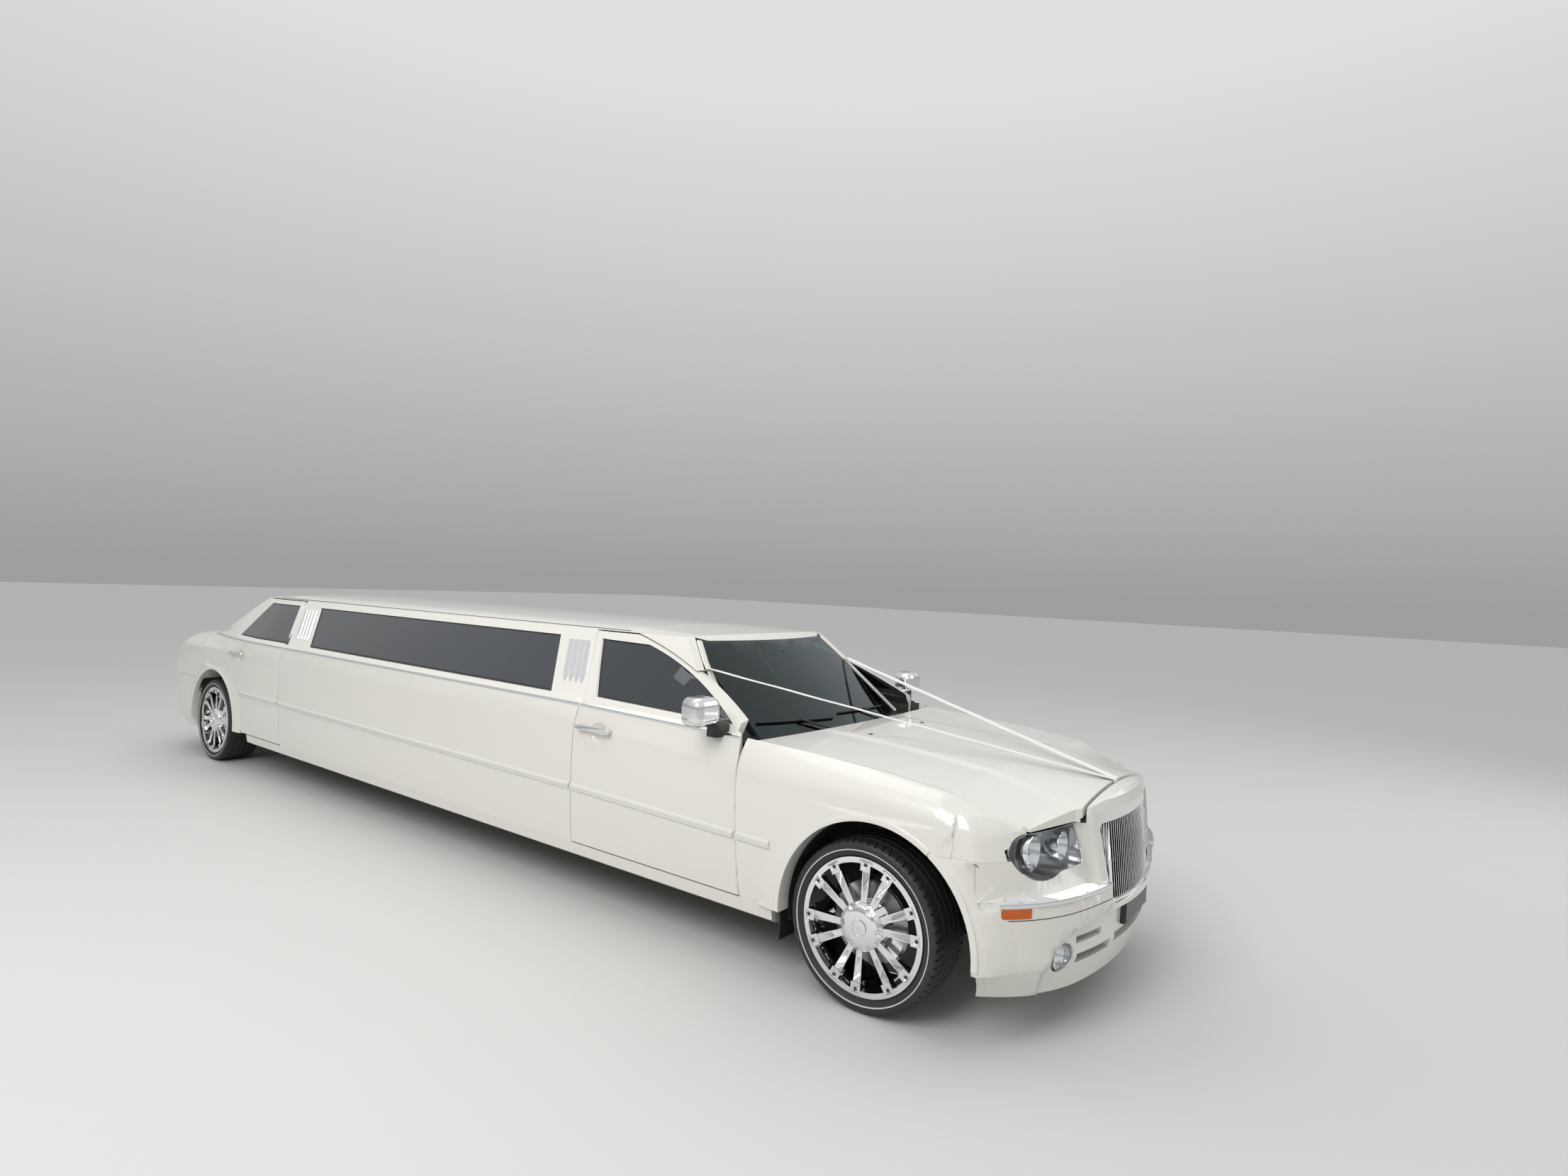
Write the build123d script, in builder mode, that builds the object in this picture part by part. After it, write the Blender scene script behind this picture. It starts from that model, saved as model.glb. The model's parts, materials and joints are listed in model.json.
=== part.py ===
"""Stretch limousine, full size, in millimetres.

Frame: origin on the ground under the middle of the car, front towards -Y, the car's left
towards +X, +Z up. Places along the car are measured from the front axle or the rear axle,
so that a longer stretch only lengthens the middle.
"""
from build123d import *
from collections import namedtuple
import math
import os

os.makedirs("parts", exist_ok=True)

# Overall sizes
STRETCH = 3556
BASE_WHEELBASE = 3048
BASE_LENGTH = 4999
FRONT_OVERHANG = 862
WHEELBASE = BASE_WHEELBASE + STRETCH
LENGTH = BASE_LENGTH + STRETCH
FA = FRONT_OVERHANG - LENGTH / 2
RA = FA + WHEELBASE
REAR_END = LENGTH / 2

# Clearances
SHUT_GAP = 7
SEAT = 0.3
SKEW = 0.38

# Body side
HALF_WIDTH = 938
FAR = 1200
WALL = 70
FRAME_WALL = 40
WALL_LOW_Z = 322
RAIL_Z = 1440
ROOF_SKIN = 32

# Wheels
TYRE_R = 352
TYRE_W = 262
RIM_R = 283
WHEEL_X = 782
ARCH_R = 447
ARCH_SHIFT = -58
AXLE_Z = TYRE_R
STEER_X = 745

Station = namedtuple("Station", "y low_x mould_z crease_z crease_x belt_z belt_x glass_x rail_x")
BODY = [
    Station(FA + 560, 920, 598, 893, 920, 1033, 880, 850, 575),
    Station(FA + 1800, 922, 622, 955, 932, 1063, 905, 894, 645),
    Station(RA - 700, 922, 652, 972, 932, 1088, 905, 894, 645),
    Station(RA - 200, 920, 655, 975, 927, 1092, 872, 850, 625),
    Station(RA + 330, 908, 655, 975, 905, 1096, 790, 770, 560),
    Station(RA + 960, 870, 655, 955, 858, 1052, 735, 715, 500),
]


def side_y(station_y):
    """A sketch plane across the car at this place along Y, with x to the left and y up."""
    return Plane.XZ.offset(-station_y)


def wall_x(z):
    """About where the outer face of the body side stands at this height."""
    belt_z, belt_x, rail_x = BODY[1].belt_z, BODY[1].glass_x, BODY[1].rail_x
    if z <= belt_z:
        return HALF_WIDTH - 8
    return belt_x - (z - belt_z) * (belt_x - rail_x) / (RAIL_Z - belt_z)


def skewed(y, z):
    """A side-view point moved to where the slanted cut through it meets the outline's plane."""
    return (y + SKEW * (HALF_WIDTH - wall_x(z)), z)


def side_cut(edges_of, grow, inward=480, outward=160):
    """A slanted prism through the left body side, from an outline seen from the side."""
    with BuildPart(mode=Mode.PRIVATE) as cut:
        with BuildSketch(Plane.YZ.offset(HALF_WIDTH)):
            with BuildLine():
                edges_of()
            make_face()
            if grow:
                offset(amount=grow, kind=Kind.INTERSECTION)
        extrude(amount=inward, dir=(-1, -SKEW, 0))
        with BuildSketch(Plane.YZ.offset(HALF_WIDTH)):
            with BuildLine():
                edges_of()
            make_face()
            if grow:
                offset(amount=grow, kind=Kind.INTERSECTION)
        extrude(amount=outward, dir=(1, SKEW, 0))
    return cut.part


# Body side: one wall from the door bottoms to the roof rail, cut into panels and doors below
with BuildPart() as wall_left:
    for s in BODY:
        with BuildSketch(side_y(s.y)):
            with BuildLine():
                ThreePointArc((s.low_x, WALL_LOW_Z), (HALF_WIDTH - (922 - s.low_x) * 0.7, s.mould_z),
                              (s.crease_x, s.crease_z))
                Polyline((s.crease_x, s.crease_z), (s.belt_x, s.belt_z), (s.belt_x - WALL, s.belt_z),
                         (s.low_x - WALL, WALL_LOW_Z), (s.low_x, WALL_LOW_Z))
            make_face()
    loft(ruled=True)
    for s in BODY[:5]:
        with BuildSketch(side_y(s.y)):
            with BuildLine():
                Polyline((s.glass_x, s.belt_z - 6), (s.rail_x, RAIL_Z), (s.rail_x - FRAME_WALL, RAIL_Z),
                         (s.glass_x - FRAME_WALL - 8, s.belt_z - 6), (s.glass_x, s.belt_z - 6))
            make_face()
    loft(ruled=True)

# Outlines from the side, in distances from an axle: door shut lines and window openings
FRONT_DOOR_FRONT = 636
FRONT_DOOR_REAR = 1790
REAR_DOOR_FRONT = -1328
REAR_DOOR_REAR = -224
DOOR_LOW_Z = WALL_LOW_Z + SHUT_GAP
DOOR_TOP_Z = RAIL_Z - SHUT_GAP
REAR_SHUT_R = 565


def front_door_outline():
    low, front, rear = DOOR_LOW_Z, FA + FRONT_DOOR_FRONT, FA + FRONT_DOOR_REAR
    nose = skewed(FA + 690, 1036)
    brow = skewed(FA + 1150, 1277)
    top = skewed(FA + 1640, DOOR_TOP_Z)
    corner = skewed(FA + 1951, DOOR_TOP_Z)
    belt = skewed(rear, 1063)
    Line(skewed(front, low), nose)
    ThreePointArc(nose, brow, top)
    Polyline(top, corner, belt, skewed(rear, low), skewed(front, low))


def rear_door_outline():
    low, front, rear = DOOR_LOW_Z, RA + REAR_DOOR_FRONT, RA + REAR_DOOR_REAR
    centre_y = RA + ARCH_SHIFT
    knee_z = AXLE_Z + math.sqrt(REAR_SHUT_R ** 2 - (centre_y - rear) ** 2)
    foot_y = centre_y - math.sqrt(REAR_SHUT_R ** 2 - (AXLE_Z - low) ** 2)
    turn = math.radians(144)
    middle = skewed(centre_y + REAR_SHUT_R * math.cos(turn), AXLE_Z + REAR_SHUT_R * math.sin(turn))
    knee = skewed(rear, knee_z)
    foot = skewed(foot_y, low)
    Polyline(foot, skewed(front, low), skewed(front + 36, 1104), skewed(front + 290, DOOR_TOP_Z),
             skewed(rear - 190, DOOR_TOP_Z), skewed(rear + 12, 1090), knee)
    ThreePointArc(knee, middle, foot)


def front_window_outline():
    sill = skewed(FA + 800, 1072)
    brow = skewed(FA + 1130, 1252)
    top = skewed(FA + 1530, 1386)
    Line(sill, skewed(FA + 1716, 1100))
    Line(skewed(FA + 1716, 1100), skewed(FA + 1893, 1394))
    Line(skewed(FA + 1893, 1394), top)
    ThreePointArc(top, brow, sill)


def rear_window_outline():
    Polyline(skewed(RA - 1262, 1110), skewed(RA - 1026, 1398), skewed(RA - 486, 1398),
             skewed(RA - 300, 1112), skewed(RA - 1262, 1110))


def centre_window_outline():
    Polyline(skewed(FA + 2070, 1092), skewed(FA + 2248, 1392), skewed(RA - 1372, 1398),
             skewed(RA - 1633, 1110), skewed(FA + 2070, 1092))


# Glass is one thin skin a little inside the body side, cut to each window
GLASS_INSET = 9
GLASS_T = 5
with BuildPart() as glass_skin:
    for s in BODY[:5]:
        lean = math.atan2(s.glass_x - s.rail_x, RAIL_Z - s.belt_z)
        near, far = GLASS_INSET / math.cos(lean), (GLASS_INSET + GLASS_T) / math.cos(lean)
        with BuildSketch(side_y(s.y)):
            with BuildLine():
                Polyline((s.glass_x - near, s.belt_z - 6), (s.rail_x - near, RAIL_Z),
                         (s.rail_x - far, RAIL_Z), (s.glass_x - far, s.belt_z - 6),
                         (s.glass_x - near, s.belt_z - 6))
            make_face()
    loft(ruled=True)

# The louvres are thin blades on the pillar beside the long window
GILL_PROUD = 9
GILL_W = 27
GILL_LOW_Z = 1160
GILL_TOP_Z = 1376
GILL_POINT = 30
Gills = namedtuple("Gills", "low_y pitch rake")
GILLS = [Gills(FA + 1852, 47, 0.55), Gills(RA - 1552, 50, 0.90)]
with BuildPart() as gill_prisms:
    with BuildSketch(Plane.YZ.offset(HALF_WIDTH)):
        for g in GILLS:
            for k in range(4):
                y = g.low_y + k * g.pitch
                run = g.rake * (GILL_TOP_Z - GILL_LOW_Z)
                nick = g.rake * GILL_POINT
                with BuildLine():
                    Polyline(skewed(y + GILL_W / 2, GILL_LOW_Z), skewed(y + GILL_W + nick, GILL_LOW_Z + GILL_POINT),
                             skewed(y + GILL_W + run, GILL_TOP_Z), skewed(y + run, GILL_TOP_Z),
                             skewed(y + nick, GILL_LOW_Z + GILL_POINT), skewed(y + GILL_W / 2, GILL_LOW_Z))
                make_face()
    extrude(amount=480, dir=(-1, -SKEW, 0))

with BuildPart() as louvres_left:
    for s in BODY[1:3]:
        lean = math.atan2(s.glass_x - s.rail_x, RAIL_Z - s.belt_z)
        near, far = SEAT / math.cos(lean), GILL_PROUD / math.cos(lean)
        with BuildSketch(side_y(s.y)):
            with BuildLine():
                Polyline((s.glass_x + near, s.belt_z - 6), (s.rail_x + near, RAIL_Z),
                         (s.rail_x + far, RAIL_Z), (s.glass_x + far, s.belt_z - 6),
                         (s.glass_x + near, s.belt_z - 6))
            make_face()
    loft(ruled=True)
    add(gill_prisms.part, mode=Mode.INTERSECT)

front_door_cut = side_cut(front_door_outline, 0)
rear_door_cut = side_cut(rear_door_outline, 0)
front_aperture = side_cut(front_door_outline, SHUT_GAP)
rear_aperture = side_cut(rear_door_outline, SHUT_GAP)


# Doors, their glass and handles, made on the left and mirrored
HANDLE_L = 255
HANDLE_FRONT = FA + 1496
HANDLE_FRONT_Z = 948
HANDLE_REAR_Z = 976
HANDLE_REAR = RA - 648
SCOOP_R = 95
SCOOP_OUT = 72
HINGE_X = 895
HINGE_BACK = 100
PIVOT_R = 7
PIVOT_H = 22
FRONT_HINGE_Y = FA + FRONT_DOOR_FRONT + HINGE_BACK
REAR_HINGE_Y = RA + REAR_DOOR_FRONT + HINGE_BACK
HINGE_HEIGHTS = (300, 600, 900, 1036, 1100)


def door_nose(hinge_y, lean, grow):
    """The round front edge that a door turns on: rings about its hinge, through its shut line."""
    with BuildPart(mode=Mode.PRIVATE) as ring:
        for z in HINGE_HEIGHTS:
            shut = HINGE_BACK - lean * (z - DOOR_LOW_Z) / (BODY[0].belt_z - DOOR_LOW_Z)
            out = (HALF_WIDTH if 450 < z < 800 else BODY[0].crease_x) - HINGE_X
            with BuildSketch(Plane.XY.offset(z)):
                with Locations((HINGE_X, hinge_y)):
                    Circle(math.hypot(out, shut) + grow)
        loft(ruled=True)
    return ring.part


def door_keep(hinge_y, lean):
    """What a door may fill: its round front edge and all that lies behind the hinge."""
    with BuildPart(mode=Mode.PRIVATE) as keep:
        add(door_nose(hinge_y, lean, 0))
        with Locations((HINGE_X - 150, hinge_y + 900, 900)):
            Box(800, 1800, 1400)
    return keep.part


def scoop(handle_y, handle_z):
    """The dish in the door behind a pull handle."""
    with BuildPart(mode=Mode.PRIVATE) as dish:
        with Locations((BODY[1].crease_x + SCOOP_OUT, handle_y + HANDLE_L * 0.42, handle_z - 8)):
            Sphere(SCOOP_R)
    return dish.part


def pivot_hole(hinge_y):
    with BuildPart(mode=Mode.PRIVATE) as hole:
        with BuildSketch(Plane.XY.offset(WALL_LOW_Z)):
            with Locations((HINGE_X, hinge_y)):
                Circle(PIVOT_R + SEAT)
        extrude(amount=PIVOT_H + 2)
    return hole.part

with BuildPart() as door_front_left:
    add(wall_left.part)
    add(front_door_cut, mode=Mode.INTERSECT)
    add(door_keep(FRONT_HINGE_Y, 54), mode=Mode.INTERSECT)
    add(pivot_hole(FRONT_HINGE_Y), mode=Mode.SUBTRACT)
    add(side_cut(front_window_outline, 0), mode=Mode.SUBTRACT)
    add(scoop(HANDLE_FRONT, HANDLE_FRONT_Z), mode=Mode.SUBTRACT)

with BuildPart() as door_rear_left:
    add(wall_left.part)
    add(rear_door_cut, mode=Mode.INTERSECT)
    add(door_keep(REAR_HINGE_Y, 36), mode=Mode.INTERSECT)
    add(pivot_hole(REAR_HINGE_Y), mode=Mode.SUBTRACT)
    add(side_cut(rear_window_outline, 0), mode=Mode.SUBTRACT)
    add(scoop(HANDLE_REAR, HANDLE_REAR_Z), mode=Mode.SUBTRACT)

with BuildPart() as glass_front_left:
    add(glass_skin.part)
    add(side_cut(front_window_outline, -SEAT), mode=Mode.INTERSECT)

with BuildPart() as glass_rear_left:
    add(glass_skin.part)
    add(side_cut(rear_window_outline, -SEAT), mode=Mode.INTERSECT)

# A pull handle is a bar on two feet that stand on the door's shoulder
Handle = namedtuple("Handle", "y z x")
HANDLES = {"front": Handle(HANDLE_FRONT, HANDLE_FRONT_Z, 918), "rear": Handle(HANDLE_REAR, HANDLE_REAR_Z, 918)}
handle_parts = {}
for end, h in HANDLES.items():
    with BuildPart() as handle:
        with BuildSketch(Plane.YZ.offset(h.x + 32)):
            with Locations((h.y + HANDLE_L / 2, h.z)):
                SlotOverall(HANDLE_L, 26)
        extrude(amount=12)
        with BuildSketch(Plane.YZ.offset(h.x)):
            with Locations((h.y + 22, h.z), (h.y + HANDLE_L - 22, h.z)):
                RectangleRounded(30, 20, 6)
        extrude(amount=36)
        add(wall_left.part, mode=Mode.SUBTRACT)
    handle_parts[end] = handle

# Fixed side panel between the doors, with the long window, and the panel behind the rear door
with BuildPart() as side_panel_left:
    add(wall_left.part)
    with Locations(((HALF_WIDTH), (FA + 1650 + RA - 1100) / 2, 900)):
        Box(1000, RA - 1100 - FA - 1650, 1400, mode=Mode.INTERSECT)
    add(front_aperture, mode=Mode.SUBTRACT)
    add(rear_aperture, mode=Mode.SUBTRACT)
    add(door_nose(REAR_HINGE_Y, 36, SHUT_GAP), mode=Mode.SUBTRACT)
    add(side_cut(centre_window_outline, 0), mode=Mode.SUBTRACT)

TAIL_Y = RA + 930
REAR_WINDOW_FOOT = RA + 300
REAR_WINDOW_TOP = RA - 330
REAR_WINDOW_FOOT_Z = 1106
REAR_WINDOW_TOP_Z = 1452
REAR_WINDOW_BOW = 90
WINDSCREEN_FOOT = FA + 672
WINDSCREEN_FOOT_Z = 982
WINDSCREEN_TOP = FA + 1205
WINDSCREEN_TOP_Z = 1436
WINDSCREEN_BOW = 130
PANE_HALF = 780


def pane_direction(foot_y, foot_z, top_y, top_z):
    return Vector(0, top_y - foot_y, top_z - foot_z).normalized()


def bowed_band(foot_y, foot_z, top_y, top_z, bow, from_y, to_y, under, over=80):
    """A leaning screen, bowed in plan, between two distances along Y from its outer face."""
    way = pane_direction(foot_y, foot_z, top_y, top_z)
    rise = top_z - foot_z
    slope = (top_y - foot_y) / rise
    low = foot_z - under
    start = foot_y - under * slope
    with BuildPart(mode=Mode.PRIVATE) as band:
        with BuildSketch(Plane.XY.offset(low)):
            with BuildLine():
                side = PANE_HALF + 200
                drop = bow * (side / PANE_HALF) ** 2
                a = ThreePointArc((-side, start + drop + from_y), (0, start + from_y), (side, start + drop + from_y))
                b = ThreePointArc((-side, start + drop + to_y), (0, start + to_y), (side, start + drop + to_y))
                Line(a @ 0, b @ 0)
                Line(a @ 1, b @ 1)
            make_face()
        extrude(amount=(rise + under + over) / way.Z, dir=tuple(way))
    return band.part


SCREEN = (WINDSCREEN_FOOT, WINDSCREEN_FOOT_Z, WINDSCREEN_TOP, WINDSCREEN_TOP_Z, WINDSCREEN_BOW)
BACKLIGHT = (REAR_WINDOW_FOOT, REAR_WINDOW_FOOT_Z, REAR_WINDOW_TOP, REAR_WINDOW_TOP_Z, -REAR_WINDOW_BOW)
PANE_T = 10

# Everything in front of the windscreen's outer face, and behind the rear window's
ahead_of_screen = bowed_band(*SCREEN, -900, 0, 80)
behind_backlight = bowed_band(*BACKLIGHT, 0, 1100, 10)

with BuildPart() as wheel_well_cut:
    for axle in (FA, RA):
        with BuildSketch(Plane.YZ.offset(380)):
            with Locations((axle + ARCH_SHIFT, AXLE_Z)):
                Circle(ARCH_R)
        extrude(amount=700)

FLARE_X = 946
FLARE_FOOT_X = 933
FLARE_LIP = 10
FLARE_FRONT_R = 575
FLARE_REAR_R = 556
FLARE_TOP_Z = 812


def flare(axle, outer_r):
    """The swelling of the body side round a wheel arch, planed off to the shoulder on top."""
    with BuildPart(mode=Mode.PRIVATE) as swell:
        with BuildSketch(Plane.YZ.offset(FLARE_FOOT_X - 14)):
            with Locations((axle + ARCH_SHIFT, AXLE_Z)):
                Circle(outer_r)
        extrude(amount=14)
        with BuildSketch(Plane.YZ.offset(FLARE_FOOT_X)):
            with Locations((axle + ARCH_SHIFT, AXLE_Z)):
                Circle(outer_r)
        with BuildSketch(Plane.YZ.offset(FLARE_X)):
            with Locations((axle + ARCH_SHIFT, AXLE_Z)):
                Circle(ARCH_R + FLARE_LIP)
        loft()
        with BuildSketch(Plane.YZ.offset(FLARE_FOOT_X - 14)):
            with Locations((axle + ARCH_SHIFT, AXLE_Z)):
                Circle(ARCH_R)
        extrude(amount=80, mode=Mode.SUBTRACT)
        with BuildSketch(side_y(axle - FAR)):
            with BuildLine():
                Polyline((FLARE_X, FLARE_TOP_Z), (FLARE_X + 60, FLARE_TOP_Z), (FLARE_X + 60, FAR), (FLARE_X - 100, FAR),
                         (FLARE_X - 100, FLARE_TOP_Z + 130), (FLARE_X, FLARE_TOP_Z))
            make_face()
        extrude(amount=-2 * FAR, mode=Mode.SUBTRACT)
        with Locations((FLARE_X, axle, WALL_LOW_Z - FAR / 2)):
            Box(400, 2 * FAR, FAR, mode=Mode.SUBTRACT)
    return swell.part


with BuildPart() as quarter_panel_left:
    add(wall_left.part)
    add(flare(RA, FLARE_REAR_R))
    with Locations((HALF_WIDTH, (RA - 700 + TAIL_Y) / 2, 900)):
        Box(1100, TAIL_Y - RA + 700, 1400, mode=Mode.INTERSECT)
    add(rear_aperture, mode=Mode.SUBTRACT)
    add(wheel_well_cut.part, mode=Mode.SUBTRACT)
    add(behind_backlight, mode=Mode.SUBTRACT)


# Plan outlines of the two ends: a bowed face, a round corner and a side that meets the wheel arch
Outline = namedtuple("Outline", "z face_y knee_x knee_y side_x side_y")
BUMPER = [
    Outline(196, -800, 430, -752, 832, -470),
    Outline(330, -846, 540, -770, 928, -490),
    Outline(588, -856, 560, -773, 931, -500),
]
LAMP_FACE = [
    Outline(560, -790, 600, -700, 928, -490),
    Outline(733, -775, 600, -686, 924, -488),
    Outline(836, -762, 590, -672, 905, -462),
    Outline(960, -720, 560, -620, 850, -390),
]
TAIL = [
    Outline(230, 1050, 560, 1000, 872, 660),
    Outline(330, 1084, 620, 1035, 915, 660),
    Outline(640, 1089, 630, 1042, 922, 660),
    Outline(695, 1040, 640, 995, 905, 700),
    Outline(1062, 1010, 600, 968, 742, 850),
]
SKIN = 42
NOSE_BACK = -290
TAIL_BACK = 330


def end_form(table, axle, back, inset=0, top=0):
    """The outer form of the nose or the tail, or the hollow inside it."""
    way = -1 if table[0].face_y < 0 else 1
    with BuildPart(mode=Mode.PRIVATE) as form:
        for i, o in enumerate(table):
            z = o.z
            if inset and i == 0:
                z = o.z - 20
            if inset and i == len(table) - 1:
                z = o.z - top
            with BuildSketch(Plane.XY.offset(z)):
                with BuildLine():
                    face_y = axle + o.face_y - way * inset
                    knee = (o.knee_x - inset * 0.6, axle + o.knee_y - way * inset)
                    side = (o.side_x - inset, axle + o.side_y - way * inset * 0.3)
                    face = ThreePointArc((-knee[0], knee[1]), (0, face_y), knee)
                    corner = TangentArc(knee, side, tangent=face % 1)
                    root = (min(o.side_x + 14, HALF_WIDTH) - inset, axle + back)
                    Line(side, root)
                    mirror(corner, about=Plane.YZ)
                    mirror(Line(side, root), about=Plane.YZ)
                    Line(root, (-root[0], root[1]))
                make_face()
        loft(ruled=True)
    return form.part


bumper_form = end_form(BUMPER, FA, NOSE_BACK)
bumper_hollow = end_form(BUMPER, FA, NOSE_BACK + 60, SKIN, 45)
lamp_face_form = end_form(LAMP_FACE, FA, NOSE_BACK)
lamp_face_hollow = end_form(LAMP_FACE, FA, NOSE_BACK + 60, SKIN)
tail_form = end_form(TAIL, RA, TAIL_BACK)
tail_hollow = end_form(TAIL, RA, TAIL_BACK - 60, SKIN, 45)

# Cutters that several panels share
SEAM_Z = 733
SEAM = 0.6
TAIL_SEAM_Z = 695
FRONT_GAP = 9
BONNET_FRONT_Y = FA - 735


def block(x0, x1, y0, y1, z0, z1):
    """A plain box between two corners, kept out of whatever is being built."""
    with BuildPart(mode=Mode.PRIVATE) as b:
        with Locations(((x0 + x1) / 2, (y0 + y1) / 2, (z0 + z1) / 2)):
            Box(x1 - x0, y1 - y0, z1 - z0)
    return b.part


def front_prism(points_of, y0, y1, grow=0, radius=0):
    """An outline seen from the front, swept back between two distances along Y."""
    with BuildPart(mode=Mode.PRIVATE) as p:
        with BuildSketch(Plane.XZ.offset(-y0)) as sk:
            with BuildLine():
                points_of()
            make_face()
            if radius:
                fillet(sk.vertices(), radius)
            if grow:
                offset(amount=grow, kind=Kind.INTERSECTION)
        extrude(amount=-(y1 - y0))
    return p.part


GRILLE_TOP_Z = 868
GRILLE_LOW_Z = 490
GRILLE_TOP_X = 378
GRILLE_LOW_X = 300
GRILLE_LEAN = 0.10
GRILLE_Y = FA - FRONT_OVERHANG + 10
GRILLE_BOW = 50
GRILLE_CORNER = 36


def grille_y(x, z):
    return GRILLE_Y + GRILLE_BOW * (x / GRILLE_TOP_X) ** 2 + GRILLE_LEAN * (z - GRILLE_LOW_Z)


def grille_half(z):
    """Half the width of the grille opening at this height."""
    return GRILLE_LOW_X + (GRILLE_TOP_X - GRILLE_LOW_X) * (z - GRILLE_LOW_Z) / (GRILLE_TOP_Z - GRILLE_LOW_Z)


def grille_outline():
    Polyline((-GRILLE_TOP_X, GRILLE_TOP_Z), (GRILLE_TOP_X, GRILLE_TOP_Z), (GRILLE_LOW_X, GRILLE_LOW_Z),
             (-GRILLE_LOW_X, GRILLE_LOW_Z), (-GRILLE_TOP_X, GRILLE_TOP_Z))


# The white surround stands proud of the lamps: a bowed face, round corners and sides that lean out to the lamps
SURROUND_EDGE = 26
SURROUND_BACK = FA - 690
Surround = namedtuple("Surround", "z tuck foot_x")
SURROUND = [Surround(470, 0, 395), Surround(735, 0, 445), Surround(868, 0, 468), Surround(908, 10, 468),
            Surround(945, 40, 464)]
with BuildPart() as surround_block:
    for r in SURROUND:
        with BuildSketch(Plane.XY.offset(r.z)):
            with BuildLine():
                half = grille_half(min(r.z, GRILLE_TOP_Z)) + SURROUND_EDGE - r.tuck / 2
                edge_y = grille_y(half, r.z) - 8 + r.tuck
                face = ThreePointArc((-half, edge_y), (0, grille_y(0, r.z) - 8 + r.tuck), (half, edge_y))
                foot = (r.foot_x, SURROUND_BACK)
                corner = ThreePointArc(face @ 1, (half + 15, edge_y + 9), (half + 24, edge_y + 28))
                Line(corner @ 1, foot)
                mirror(corner, about=Plane.YZ)
                mirror(Line(corner @ 1, foot), about=Plane.YZ)
                Line(foot, (-foot[0], foot[1]))
            make_face()
    loft(ruled=True)

# Bonnet crown: what lies under the bonnet's top surface
BONNET_T = 34
Crown = namedtuple("Crown", "y edge_z crown_z")
BONNET = [Crown(FA - 880, 768, 912), Crown(FA - 740, 776, 931), Crown(FA - 620, 800, 944), Crown(FA - 480, 880, 958),
          Crown(FA - 330, 950, 974), Crown(FA - 58, 982, 992), Crown(FA + 330, 1008, 1012), Crown(FA + 740, 1026, 1030)]


def crown_form(low, high):
    """The layer between two depths under the bonnet's top surface."""
    with BuildPart(mode=Mode.PRIVATE) as layer:
        for c in BONNET:
            with BuildSketch(side_y(c.y)):
                with BuildLine():
                    top = ThreePointArc((-860, c.edge_z - high), (0, c.crown_z - high), (860, c.edge_z - high))
                    foot = ThreePointArc((-860, c.edge_z - low), (0, c.crown_z - low), (860, c.edge_z - low))
                    Line(top @ 0, foot @ 0)
                    Line(top @ 1, foot @ 1)
                make_face()
        loft(ruled=True)
    return layer.part


def lamp_outline():
    Polyline((716, 826), (468, 836), (426, 672), (575, 664))
    ThreePointArc((575, 664), (745, 668), (812, 748))
    ThreePointArc((812, 748), (788, 802), (716, 826))


def recess_outline():
    """The sunk lower middle of the bumper, with the fog lamps at its ends."""
    half = [(250, 492), (560, 452), (668, 392), (692, 300), (640, 150)]
    Polyline(*half, *[(-x, z) for x, z in reversed(half)], half[0])


FOG_X = 598
FOG_Z = 343
FOG_R = 58
RECESS = 16
INTAKE = (-222, 222, 314, 358)
SLOTS = ((352, 530, 384, 412), (262, 520, 302, 340))
PLATE_HOLE_PITCH = 300
PLATE_HOLE_R = 3.5
FRONT_PLATE_Z = 455
LAMP_BACK = FA - 560

grille_hole = front_prism(grille_outline, FA - 950, FA - 500, 0, GRILLE_CORNER)
lamp_left_cut = front_prism(lamp_outline, FA - 900, FA - 440)
lamp_right_cut = mirror(lamp_left_cut, about=Plane.YZ)

with BuildPart() as bumper_recess:
    add(bumper_form)
    add(end_form(BUMPER, FA, NOSE_BACK + 60, RECESS), mode=Mode.SUBTRACT)
    add(front_prism(recess_outline, FA - 950, FA - 500), mode=Mode.INTERSECT)

with BuildPart() as front_flares:
    add(flare(FA, FLARE_FRONT_R))
    add(block(0, FAR, FA - FAR, FA - 150, 0, SEAM_Z - SEAM), mode=Mode.INTERSECT)
    mirror(about=Plane.YZ)

# Front bumper cover with the white surround of the grille
with BuildPart() as surround:
    add(surround_block.part)
    add(crown_form(FAR / 2, 0), mode=Mode.INTERSECT)
    add(block(-FAR, FAR, BONNET_FRONT_Y - FRONT_GAP, FA, GRILLE_TOP_Z - 36, FAR), mode=Mode.SUBTRACT)

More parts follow.
